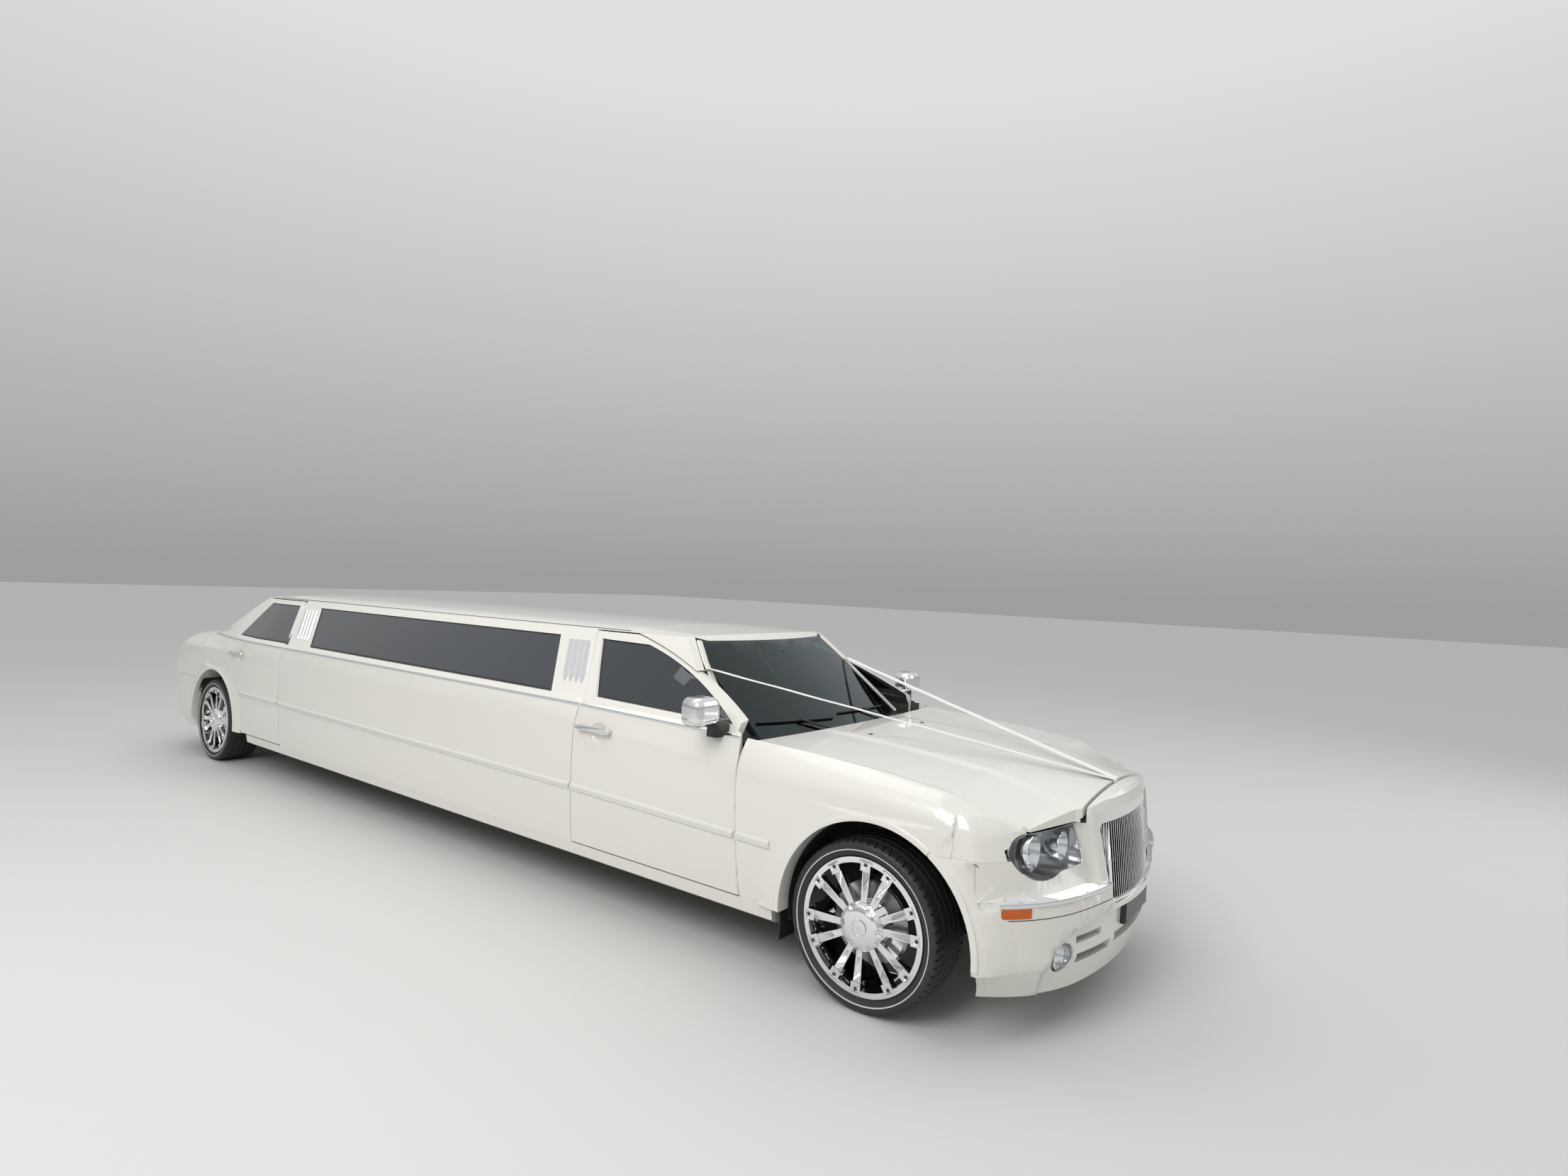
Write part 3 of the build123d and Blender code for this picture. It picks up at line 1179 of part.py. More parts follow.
# Mirrors: a shell with a round front on an arm from the window's corner
MIRROR_Y = FA + 780
MIRROR_L = 108
with BuildPart() as mirror_left:
    with BuildSketch(side_y(MIRROR_Y)):
        with Locations((988, 1140)):
            RectangleRounded(164, 134, 46)
    extrude(amount=-MIRROR_L)
    fillet(faces().sort_by(Axis.Y)[0].edges(), 40)
    add(block(850, 940, FA + 786, FA + 846, 1020, 1100))
    add(door_front_left.part, mode=Mode.SUBTRACT)
    add(glass_front_left.part, mode=Mode.SUBTRACT)

# Wheels: barrel, six pairs of spokes, hub and cap, with the brake disc; the tyre is a node of its own
SPOKE_PAIRS = 6
PAIR_SPREAD = 12.2
FIRST_PAIR = 45
RIM_OUT = 902
RIM_IN = 662
FLANGE = 9
BEAD_R = 272
BARREL_T = 12
SPOKE_T = 26
SPOKE_FACE = 893
SPOKE_HALF = 13
SPOKE_WIDE = 18
BOSS_IN = 230
BOSS_OUT = 269
BOSS_HALF = 23
BOSS_FACE = 903
BOLT_CIRCLE_R = 257
BOLT_R = 8
HUB_R = 98
HUB_FACE = 899
CAP_R = 88
CAP_FACE = 914
DISC_R = 168
DISC_X = 800
BORE_R = 25
SPINDLE_R = 24.7
SPINDLE_END = 838


def wheel_at(axle):
    turn = Axis((0, axle, AXLE_Z), (1, 0, 0))
    with BuildPart(mode=Mode.PRIVATE) as wheel:
        with BuildSketch(Plane(origin=(0, axle, AXLE_Z))):
            with BuildLine():
                Polyline((RIM_OUT, RIM_R), (RIM_OUT, BEAD_R - BARREL_T), (840, 250), (700, 244),
                         (RIM_IN, BEAD_R - BARREL_T), (RIM_IN, RIM_R), (RIM_IN + FLANGE, RIM_R),
                         (RIM_IN + FLANGE, BEAD_R), (RIM_OUT - FLANGE, BEAD_R), (RIM_OUT - FLANGE, RIM_R),
                         (RIM_OUT, RIM_R))
            make_face()
        revolve(axis=turn)
        for i in range(SPOKE_PAIRS):
            for lean in (-PAIR_SPREAD, PAIR_SPREAD):
                angle = math.radians(FIRST_PAIR + 360 / SPOKE_PAIRS * i + lean)
                face = Plane(origin=(SPOKE_FACE - SPOKE_T, axle, AXLE_Z),
                             x_dir=(0, math.cos(angle), math.sin(angle)), z_dir=(1, 0, 0))
                with BuildSketch(face):
                    with BuildLine():
                        Polyline((HUB_R - 20, -SPOKE_HALF), (BOSS_IN, -SPOKE_WIDE), (BOSS_IN, SPOKE_WIDE),
                                 (HUB_R - 20, SPOKE_HALF), (HUB_R - 20, -SPOKE_HALF))
                    make_face()
                extrude(amount=SPOKE_T)
                with BuildSketch(face):
                    with Locations(((BOSS_IN + BOSS_OUT) / 2, 0)):
                        Rectangle(BOSS_OUT - BOSS_IN, 2 * BOSS_HALF)
                extrude(amount=BOSS_FACE - SPOKE_FACE + SPOKE_T)
                with BuildSketch(face.offset(SPOKE_T + BOSS_FACE - SPOKE_FACE)):
                    with Locations((BOLT_CIRCLE_R, 0)):
                        Circle(BOLT_R)
                extrude(amount=-8, mode=Mode.SUBTRACT)
        with BuildSketch(Plane.YZ.offset(DISC_X)):
            with Locations((axle, AXLE_Z)):
                Circle(HUB_R)
        extrude(amount=HUB_FACE - DISC_X)
        with BuildSketch(Plane(origin=(0, axle, AXLE_Z))):
            with BuildLine():
                Polyline((HUB_FACE - 4, 0), (HUB_FACE - 4, CAP_R), (HUB_FACE + 8, CAP_R), (CAP_FACE, CAP_R - 22),
                         (CAP_FACE + 4, 0), (HUB_FACE - 4, 0))
            make_face()
        revolve(axis=turn)
        with BuildSketch(Plane.YZ.offset(HUB_FACE)):
            with Locations((axle, AXLE_Z)):
                with PolarLocations(CAP_R + 2, SPOKE_PAIRS):
                    Circle(15)
        extrude(amount=40, mode=Mode.SUBTRACT)
        with BuildSketch(Plane.YZ.offset(DISC_X)):
            with Locations((axle, AXLE_Z)):
                Circle(DISC_R)
        extrude(amount=24)
        with BuildSketch(Plane.YZ.offset(780)):
            with Locations((axle, AXLE_Z)):
                Circle(BORE_R)
        extrude(amount=SPINDLE_END + 2 - 780, mode=Mode.SUBTRACT)
    return wheel.part


def tyre_at(axle):
    turn = Axis((0, axle, AXLE_Z), (1, 0, 0))
    half = TYRE_W / 2
    bead = (RIM_OUT - RIM_IN) / 2 - FLANGE - SEAT
    with BuildPart(mode=Mode.PRIVATE) as tyre:
        with BuildSketch(Plane(origin=(WHEEL_X, axle, AXLE_Z))):
            with BuildLine():
                half_profile = [(bead, BEAD_R + SEAT), (bead, RIM_R + 2), (half, 316), (half - 20, TYRE_R - 7),
                                (0, TYRE_R)]
                Polyline(*half_profile, *[(-x, r) for x, r in reversed(half_profile[:-1])],
                         half_profile[0])
            make_face()
        revolve(axis=turn)
    return tyre.part


with BuildPart() as knuckle_left:
    add(block(KNUCKLE_X - 24, KNUCKLE_X + 24, FA - 40, FA + 40, KNUCKLE_LOW, KNUCKLE_TOP))
    with BuildSketch(Plane.XY.offset(KNUCKLE_LOW - KINGPIN_H)):
        with Locations((KNUCKLE_X, FA)):
            Circle(KINGPIN_R)
    extrude(amount=KNUCKLE_TOP - KNUCKLE_LOW + 2 * KINGPIN_H)
    with BuildSketch(Plane.YZ.offset(KNUCKLE_X)):
        with Locations((FA, AXLE_Z)):
            Circle(SPINDLE_R)
    extrude(amount=SPINDLE_END - KNUCKLE_X)
    add(block(KNUCKLE_X, 796, FA - 190, FA - 90, 300, 420))
    add(block(KNUCKLE_X, KNUCKLE_X + 24, FA - 100, FA, 320, 400))

with BuildPart() as rear_hubs:
    add(rear_axle.part)
    for s in (-1, 1):
        x0, x1 = sorted((s * 620, s * 760))
        add(block(x0, x1, RA - 50, RA + 50, 270, 430))
        with BuildSketch(Plane.YZ.offset(s * 700)):
            with Locations((RA, AXLE_Z)):
                Circle(SPINDLE_R)
        extrude(amount=s * (SPINDLE_END - 700))

# Left-hand pieces and their mirrored twins
pairs = {
    "door_front": door_front_left.part,
    "door_rear": door_rear_left.part,
    "door_glass_front": glass_front_left.part,
    "door_glass_rear": glass_rear_left.part,
    "door_handle_front": handle_parts["front"].part,
    "door_handle_rear": handle_parts["rear"].part,
    "side_mirror": mirror_left.part,
    "side_panel": side_panel_left.part,
    "pillar_louvres": louvres_left.part,
    "quarter_panel": quarter_trimmed.part,
    "wing": wing_left.part,
    "knuckle": knuckle_left.part,
    "wheel_front": wheel_at(FA),
    "wheel_rear": wheel_at(RA),
    "tyre_front": tyre_at(FA),
    "tyre_rear": tyre_at(RA),
}
for name, left in pairs.items():
    with BuildPart() as left_piece:
        add(left)
    left_piece.part.label = f"{name}_left"
    export_step(left_piece.part, f"parts/{name}_left.step")
    with BuildPart() as right_piece:
        mirror(left, about=Plane.YZ)
    right_piece.part.label = f"{name}_right"
    export_step(right_piece.part, f"parts/{name}_right.step")

singles = {
    "roof": roof, "floor_pan": floor_pan, "chassis_frame": chassis_frame, "sills": sills,
    "front_bumper": front_bumper, "rear_bumper": rear_bumper, "grille": grille, "radiator": radiator,
    "front_lamps": front_lamps, "tail_lamps": tail_lamps, "windscreen": windscreen, "cabin_glass": cabin_glass,
    "cowl": cowl, "parcel_shelf": parcel_shelf, "bonnet": bonnet, "boot_lid": boot_lid,
    "wheel_housings": wheel_housings, "engine": engine,
    "front_suspension": front_suspension, "rear_axle": rear_hubs, "exhaust": exhaust,
    "front_seats": front_seats, "rear_seats": rear_seats, "side_bench": side_bench, "partition": partition,
    "dashboard": dashboard, "steering_wheel": steering_wheel,
}
for name, piece in singles.items():
    piece.part.label = name
    export_step(piece.part, f"parts/{name}.step")
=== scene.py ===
"""Stretch limousine: finishes, trim, wheels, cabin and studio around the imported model, in metres."""
import json
import math

import bmesh
import bpy
from mathutils import Matrix, Vector
from mathutils.bvhtree import BVHTree


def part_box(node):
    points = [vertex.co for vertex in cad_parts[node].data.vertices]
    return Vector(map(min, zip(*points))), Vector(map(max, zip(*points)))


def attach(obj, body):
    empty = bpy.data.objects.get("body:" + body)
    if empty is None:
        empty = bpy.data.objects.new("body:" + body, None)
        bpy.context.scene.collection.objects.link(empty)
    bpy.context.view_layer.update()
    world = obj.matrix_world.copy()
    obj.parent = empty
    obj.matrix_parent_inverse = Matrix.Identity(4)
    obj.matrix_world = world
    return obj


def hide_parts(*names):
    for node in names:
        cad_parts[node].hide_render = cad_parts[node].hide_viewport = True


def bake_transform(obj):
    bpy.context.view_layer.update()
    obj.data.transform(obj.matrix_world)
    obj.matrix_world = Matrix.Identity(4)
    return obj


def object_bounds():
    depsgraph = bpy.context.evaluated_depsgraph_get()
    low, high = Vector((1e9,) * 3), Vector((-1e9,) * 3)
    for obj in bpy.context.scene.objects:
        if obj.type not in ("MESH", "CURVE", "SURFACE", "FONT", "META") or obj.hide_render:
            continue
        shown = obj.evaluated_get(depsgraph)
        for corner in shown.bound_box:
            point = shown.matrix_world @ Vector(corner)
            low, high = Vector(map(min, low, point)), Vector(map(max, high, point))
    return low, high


bl_info = {
    "name": "Stretch limousine",
    "version": (1, 0, 0),
    "blender": (4, 5, 0),
    "location": "3D View > Sidebar > Limousine",
    "description": "Dresses the packed limousine: finishes, trim, wheels, cabin and studio",
    "category": "Object",
}

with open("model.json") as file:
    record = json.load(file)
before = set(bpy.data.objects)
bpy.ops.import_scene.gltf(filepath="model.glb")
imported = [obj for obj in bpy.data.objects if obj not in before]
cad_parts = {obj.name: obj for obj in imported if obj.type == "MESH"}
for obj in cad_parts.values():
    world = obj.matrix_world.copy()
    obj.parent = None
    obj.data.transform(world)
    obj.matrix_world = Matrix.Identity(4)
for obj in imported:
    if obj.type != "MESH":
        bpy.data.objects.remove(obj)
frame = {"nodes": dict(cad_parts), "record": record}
NODES = frame["nodes"]
BODIES = frame["record"]["behaviour"]["bodies"]
BODY_OF = {name: body for body, names in BODIES.items() for name in names}
SLOT_OF = {part["node"]: part["material_slot"] for part in frame["record"]["subparts"]}
CAR_LOW, CAR_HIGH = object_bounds()
SIDES = (("left", 1), ("right", -1))

# Places that the pieces share, read from the frame
TYRE_LOW, TYRE_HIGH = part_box("tyre_front_left")
TYRE_RADIUS = (TYRE_HIGH.z - TYRE_LOW.z) / 2
TYRE_MIDDLE = (TYRE_LOW.x + TYRE_HIGH.x) / 2
FRONT_AXLE = (TYRE_LOW.y + TYRE_HIGH.y) / 2
REAR_AXLE = sum(corner.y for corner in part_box("tyre_rear_left")) / 2
AXLE_Z = TYRE_RADIUS
AXLES = (("front", FRONT_AXLE), ("rear", REAR_AXLE))
# The wheel arches, from part.py: how far their centres lie from the axles along the car, and their radius
ARCH_CENTRE_SHIFT = -0.058
ARCH_RADIUS = 0.447


class PaintSettings(bpy.types.PropertyGroup):
    """The body's paint and the metal trim."""

    pearl: bpy.props.FloatVectorProperty(
        name="Pearl white", description="Base colour of the body paint", subtype="COLOR",
        default=(0.74, 0.722, 0.665), min=0, max=1)
    flake_scale: bpy.props.FloatProperty(
        name="Flake scale", description="How many pearl flakes fit in a metre", default=900, min=10, max=5000)
    chrome: bpy.props.FloatVectorProperty(
        name="Chrome", description="Colour of bright metal", subtype="COLOR",
        default=(0.86, 0.87, 0.88), min=0, max=1)


class GlassSettings(bpy.types.PropertyGroup):
    """Tints of the panes."""

    side_tint: bpy.props.FloatVectorProperty(
        name="Side glass", description="Colour of the dark side glass", subtype="COLOR",
        default=(0.010, 0.014, 0.018), min=0, max=1)
    screen_tint: bpy.props.FloatVectorProperty(
        name="Windscreen", description="Colour of the windscreen", subtype="COLOR",
        default=(0.15, 0.33, 0.37), min=0, max=1)


class TyreSettings(bpy.types.PropertyGroup):
    """The tread of the tyres."""

    pitches: bpy.props.IntProperty(
        name="Tread blocks", description="Shoulder blocks round one tyre", default=62, min=20, max=90)
    groove: bpy.props.FloatProperty(
        name="Groove depth", description="Depth of the long grooves", default=0.0065, min=0.001, max=0.01,
        unit="LENGTH")
    swing: bpy.props.FloatProperty(
        name="Swing", description="Lean of the shoulder grooves, in radians for each metre", default=0.85)


class TrimSettings(bpy.types.PropertyGroup):
    """Strips and lips on the body."""

    lip_proud: bpy.props.FloatProperty(
        name="Arch lip", description="How proud the rolled arch lips stand", default=0.0045, unit="LENGTH")
    crease: bpy.props.FloatProperty(
        name="Bonnet crease", description="Height of the bonnet's raised middle",
        default=0.008, unit="LENGTH")
    ribbon_width: bpy.props.FloatProperty(
        name="Ribbon width", description="Width of the two satin ribbons", default=0.045, unit="LENGTH")
    satin: bpy.props.FloatVectorProperty(
        name="Satin", description="Colour of the ribbons", subtype="COLOR",
        default=(0.83, 0.82, 0.80), min=0, max=1)


class StageSettings(bpy.types.PropertyGroup):
    """Camera and studio."""

    floor_colour: bpy.props.FloatVectorProperty(
        name="Floor", description="Colour of the floor", subtype="COLOR",
        default=(0.62, 0.615, 0.60), min=0, max=1)
    camera_place: bpy.props.FloatVectorProperty(
        name="Camera", description="Where the camera stands", subtype="TRANSLATION", unit="LENGTH",
        default=(-3.903, -5.1905, 1.741))
    yaw: bpy.props.FloatProperty(
        name="Yaw", description="Turn from looking along +Y", subtype="ANGLE", default=math.radians(-53.309))
    pitch: bpy.props.FloatProperty(
        name="Pitch", description="Tilt above the horizon", subtype="ANGLE", default=math.radians(-0.256))
    roll: bpy.props.FloatProperty(
        name="Roll", description="Turn about the line of sight", subtype="ANGLE",
        default=math.radians(-2.383))
    focal_share: bpy.props.FloatProperty(
        name="Focal length", description="Focal length as a share of the picture's width",
        default=0.54149, min=0.1, max=5)


class LimousineSettings(bpy.types.PropertyGroup):
    """All sizes and colours that a user may change."""

    paint: bpy.props.PointerProperty(type=PaintSettings)
    glass: bpy.props.PointerProperty(type=GlassSettings)
    tyre: bpy.props.PointerProperty(type=TyreSettings)
    trim: bpy.props.PointerProperty(type=TrimSettings)
    stage: bpy.props.PointerProperty(type=StageSettings)


def settings():
    return bpy.context.scene.limousine


# Material helpers
def start_material(name, sockets=None):
    """A new node material, its tree, and its main shader with some sockets set."""
    material = bpy.data.materials.new(name)
    material.use_nodes = True
    tree = material.node_tree
    shader = tree.nodes["Principled BSDF"]
    for socket, value in (sockets or {}).items():
        shader.inputs[socket].default_value = value
    return material, tree, shader


def add_node(tree, kind, inputs=None, **values):
    """A node with its settings, and the values or links of its inputs."""
    made = tree.nodes.new(kind)
    for key, value in values.items():
        setattr(made, key, value)
    for key, value in (inputs or {}).items():
        if isinstance(value, bpy.types.NodeSocket):
            tree.links.new(value, made.inputs[key])
        else:
            made.inputs[key].default_value = value
    return made


def place_of(tree):
    return add_node(tree, "ShaderNodeTexCoord").outputs["Object"]


def noise_at(tree, scale, detail):
    """A noise value on the piece's own coordinates."""
    inputs = {"Vector": place_of(tree), "Scale": scale, "Detail": detail}
    return add_node(tree, "ShaderNodeTexNoise", inputs).outputs["Fac"]


def spread(tree, value, low, high, from_low=0.3, from_high=0.7):
    """The value mapped to a narrow range, such as a roughness."""
    found = add_node(tree, "ShaderNodeMapRange", {
        "Value": value, "From Min": from_low, "From Max": from_high, "To Min": low, "To Max": high})
    return found.outputs["Result"]


def tint_between(tree, value, dark, light):
    """A colour between two by a value from 0 to 1."""
    found = add_node(tree, "ShaderNodeMix", {0: value}, data_type="RGBA")
    found.inputs[6].default_value = (*dark, 1)
    found.inputs[7].default_value = (*light, 1)
    return found.outputs[2]


def bump_by(tree, shader, height, strength, distance):
    made = add_node(tree, "ShaderNodeBump", {"Height": height, "Strength": strength, "Distance": distance})
    tree.links.new(made.outputs["Normal"], shader.inputs["Normal"])
    return made


def mottled(name, tint, dark, light, rough, grain=None, sockets=None):
    """A material whose colour and roughness wander, with a fine grain where one is given.

    The noise of its tint is (scale, detail), that of its roughness (scale, detail, low, high), and that
    of its grain (scale, detail, strength, depth).
    """
    material, tree, shader = start_material(name, sockets)
    tree.links.new(tint_between(tree, noise_at(tree, *tint), dark, light), shader.inputs["Base Color"])
    tree.links.new(spread(tree, noise_at(tree, *rough[:2]), *rough[2:]), shader.inputs["Roughness"])
    if grain:
        bump_by(tree, shader, noise_at(tree, *grain[:2]), *grain[2:])
    return material


METAL = {"Metallic": 1.0}


def pearl_paint():
    """Cream white gloss with fine pearl flakes under a clear coat."""
    paint = settings().paint
    coat = {"Coat Weight": 0.9, "Coat Roughness": 0.04, "Coat IOR": 1.5}
    material, tree, shader = start_material("pearl_paint", coat)
    base = Vector(paint.pearl)
    flakes = add_node(tree, "ShaderNodeTexVoronoi", {"Vector": place_of(tree), "Scale": paint.flake_scale})
    glint = spread(tree, flakes.outputs["Distance"], 0.0, 1.0, 0.1, 0.6)
    tree.links.new(tint_between(tree, glint, base * 0.985, base * 1.01), shader.inputs["Base Color"])
    tree.links.new(spread(tree, noise_at(tree, 300, 2), 0.27, 0.33), shader.inputs["Roughness"])
    return material


def chrome():
    """Bright plated metal with faint wiping marks."""
    material, tree, shader = start_material("chrome", {"Base Color": (*settings().paint.chrome, 1), **METAL})
    tree.links.new(spread(tree, noise_at(tree, 35, 5), 0.035, 0.075), shader.inputs["Roughness"])
    bump_by(tree, shader, noise_at(tree, 260, 3), 0.015, 0.0002)
    return material


def rubber():
    """Tyre rubber: near black, dull, with a fine grain and a greyer bloom in places."""
    return mottled("rubber", (9, 4), (0.012, 0.012, 0.013), (0.034, 0.033, 0.032), (60, 3, 0.42, 0.62),
                   (900, 2, 0.12, 0.0006))


def dark_glass():
    """Almost black tinted glass with a clean, hard gloss."""
    tint = Vector(settings().glass.side_tint)
    gloss = {"IOR": 1.52, "Coat Weight": 0.6, "Coat Roughness": 0.015}
    return mottled("dark_glass", (1.3, 2), tint, tint * 1.5, (7, 4, 0.015, 0.035), sockets=gloss)


def screen_glass():
    """Green tinted windscreen glass that shows the cabin."""
    tint = Vector(settings().glass.screen_tint)
    clear = {"IOR": 1.45, "Transmission Weight": 1.0}
    return mottled("screen_glass", (1.0, 2), tint * 0.94, tint, (9, 4, 0.0, 0.012), sockets=clear)


def lens(name, tint, haze):
    """Moulded lamp lens, clear or coloured."""
    tint = Vector(tint)
    clear = {"IOR": 1.46, "Transmission Weight": 1.0}
    return mottled(name, (12, 3), tint * 0.95, tint, (30, 3, haze * 0.5, haze), sockets=clear)


def plastic(name, dark, light, low_rough, high_rough, grain=420, depth=0.0004):
    """Moulded plastic with a fine grain."""
    return mottled(name, (6, 3), dark, light, (40, 3, low_rough, high_rough), (grain, 3, 0.25, depth))


def coated_steel():
    """Black underbody coating with a dusting of road dirt."""
    return mottled("coated_steel", (4, 5), (0.018, 0.018, 0.019), (0.07, 0.064, 0.056), (25, 4, 0.5, 0.85),
                   (90, 4, 0.3, 0.002))


def cast_alloy():
    """Cast aluminium, slightly stained."""
    return mottled("cast_alloy", (8, 5), (0.30, 0.30, 0.31), (0.52, 0.52, 0.53), (20, 4, 0.32, 0.55),
                   (300, 3, 0.25, 0.0006), METAL)


def leather():
    """Black leather with a pebbled grain."""
    material = mottled("leather", (5, 4), (0.016, 0.015, 0.015), (0.035, 0.032, 0.030), (22, 4, 0.36, 0.55))
    tree = material.node_tree
    pebbles = add_node(tree, "ShaderNodeTexVoronoi", {"Vector": place_of(tree), "Scale": 420.0})
    bump_by(tree, tree.nodes["Principled BSDF"], pebbles.outputs["Distance"], 0.35, 0.0006)
    return material


def brushed_steel():
    """Machined steel of the brake discs, a little heat stained."""
    return mottled("brushed_steel", (30, 4), (0.22, 0.21, 0.20), (0.36, 0.355, 0.35), (60, 4, 0.3, 0.45),
                   sockets=METAL)


def reflector():
    """Vacuum plated plastic inside the lamps, duller than chrome."""
    return mottled("reflector", (14, 3), (0.42, 0.43, 0.45), (0.60, 0.61, 0.63), (70, 3, 0.10, 0.20),
                   sockets=METAL)


def cloth(name, dark, light, threads):
    """Woven or tufted cabin cloth."""
    material, tree, shader = start_material(name, {"Roughness": 0.95, "Sheen Weight": 0.3})
    tree.links.new(tint_between(tree, noise_at(tree, 30, 4), dark, light), shader.inputs["Base Color"])
    bump_by(tree, shader, noise_at(tree, threads, 3), 0.6, 0.0015)
    return material


def satin():
    """White ribbon satin: a fine weave across the width with a soft sheen."""
    material, tree, shader = start_material("satin", {"Sheen Weight": 0.4})
    tone = Vector(settings().trim.satin)
    weave = add_node(tree, "ShaderNodeTexWave", {
        "Vector": add_node(tree, "ShaderNodeTexCoord").outputs["UV"], "Scale": 220.0, "Distortion": 1.5,
        "Detail": 2.0}, wave_type="BANDS", bands_direction="Y")
    threads = weave.outputs["Fac"]
    tree.links.new(tint_between(tree, threads, tone * 0.93, tone), shader.inputs["Base Color"])
    tree.links.new(spread(tree, noise_at(tree, 60, 3), 0.3, 0.42), shader.inputs["Roughness"])
    bump_by(tree, shader, threads, 0.15, 0.0002)
    return material


# The finishes: first the record's slots, then the looks that some pieces have instead
MAKERS = {
    "paint": pearl_paint,
    "chrome": chrome,
    "tyre": rubber,
    "dark_glass": dark_glass,
    "clear_glass": screen_glass,
    "lamp_glass": lambda: lens("clear_lens", (0.93, 0.95, 0.96), 0.02),
    "red_lens": lambda: lens("red_lens", (0.55, 0.012, 0.010), 0.08),
    "black_plastic": lambda: plastic("black_plastic", (0.012, 0.012, 0.012), (0.026, 0.026, 0.027),
                                     0.38, 0.6),
    "trim_plastic": lambda: plastic("trim_plastic", (0.035, 0.033, 0.031), (0.055, 0.052, 0.050), 0.5, 0.7),
    "chassis_steel": coated_steel,
    "alloy": cast_alloy,
    "seat_leather": leather,
    "amber": lambda: plastic("amber", (0.50, 0.085, 0.008), (0.62, 0.12, 0.012), 0.08, 0.14, 150, 0.0001),
    "bolt": lambda: plastic("bolt", (0.03, 0.03, 0.032), (0.05, 0.05, 0.052), 0.25, 0.4),
    "brake": brushed_steel,
    "carpet": lambda: cloth("carpet", (0.020, 0.019, 0.019), (0.045, 0.043, 0.042), 600),
    "gloss_black": lambda: plastic("gloss_black", (0.008, 0.008, 0.009), (0.014, 0.014, 0.015), 0.12, 0.2,
                                   200, 0.0001),
    "headlining": lambda: cloth("headlining", (0.33, 0.32, 0.30), (0.40, 0.39, 0.37), 900),
    "plate": lambda: plastic("plate", (0.012, 0.012, 0.014), (0.020, 0.020, 0.022), 0.25, 0.35, 200, 0.0001),
    "reflector": reflector,
    "satin": satin,
    "white_ring": lambda: plastic("white_ring", (0.55, 0.54, 0.52), (0.66, 0.65, 0.63), 0.35, 0.5),
}
made_materials = {}


def finish(look):
    """The material of a slot or look, made once."""
    if look not in made_materials:
        made_materials[look] = MAKERS[look]()
    return made_materials[look]


# Mesh helpers. An edge shows as one from the first angle on, and on cloth and cushions from the second
SHARP_ANGLE = math.radians(35)
SOFT_ANGLE = math.radians(60)
# Points nearer than this are one, in new meshes and in the CAD nodes' triangles
SAME_POINT = 1e-6
SAME_CAD_POINT = 2e-5


def clamped(share):
    return min(max(share, 0), 1)


def object_from(bm, name, smooth_angle=SHARP_ANGLE):
    """The bmesh as an object at the origin, shaded smooth up to the angle."""
    mesh = bpy.data.meshes.new(name)
    bm.to_mesh(mesh)
    bm.free()
    obj = bpy.data.objects.new(name, mesh)
    bpy.context.scene.collection.objects.link(obj)
    mesh.shade_smooth()
    mesh.set_sharp_from_angle(angle=smooth_angle)
    return obj


def new_object(bm, name, body, slot, look=None, smooth_angle=SHARP_ANGLE):
    """The bmesh as a piece that rides on a body, in its slot's finish or in a look of its own."""
    obj = object_from(bm, name, smooth_angle)
    obj.data.materials.append(finish(look or slot))
    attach(obj, body)
    return obj


def merged_mesh(node, keep=None):
    """A CAD node's triangles joined in a new bmesh, with only the faces that pass the test."""
    bm = bmesh.new()
    bm.from_mesh(NODES[node].data)
    bmesh.ops.remove_doubles(bm, verts=bm.verts, dist=SAME_CAD_POINT)
    if keep:
        spare = [face for face in bm.faces if not keep(face.normal, face.calc_center_median())]
        bmesh.ops.delete(bm, geom=spare, context="FACES")
    return bm


def even_shading(obj):
    """Large faces set the shading, so that long thin triangles of the CAD mesh don't show."""
    weigh = obj.modifiers.new("even shading", "WEIGHTED_NORMAL")
    weigh.keep_sharp = True
    with bpy.context.temp_override(object=obj, active_object=obj, selected_objects=[obj]):
        bpy.ops.object.modifier_apply(modifier=weigh.name)


def second_finish(obj, look, test):
    """Faces that pass the test, by their direction and middle, get another finish."""
    obj.data.materials.append(finish(look))
    index = len(obj.data.materials) - 1
    for face in obj.data.polygons:
        if test(face.normal, face.center):
            face.material_index = index


def mapped_grid(bm, columns, rows, place):
    """A grid whose corners are put in place by a function of their column and row."""
    made = bmesh.ops.create_grid(bm, x_segments=columns, y_segments=rows, size=1)["verts"]
    for vert in made:
        vert.co = place(round((vert.co.x + 1) / 2 * columns), round((vert.co.y + 1) / 2 * rows))
    return made


def skin_over(bm, rings, closed=False):
    """A closed skin over a row of like rings of points, which may itself run round."""
    if closed:
        rings = rings + rings[:1]
    around = len(rings[0])
    made = mapped_grid(bm, len(rings) - 1, around, lambda i, j: rings[i][j % around])
    bmesh.ops.remove_doubles(bm, verts=made, dist=SAME_POINT)
    bmesh.ops.holes_fill(bm, edges=[edge for edge in bm.edges if edge.is_boundary], sides=0)
    bmesh.ops.recalc_face_normals(bm, faces=bm.faces)


ACROSS = (1, 0, 0)
ALONG = (0, 1, 0)


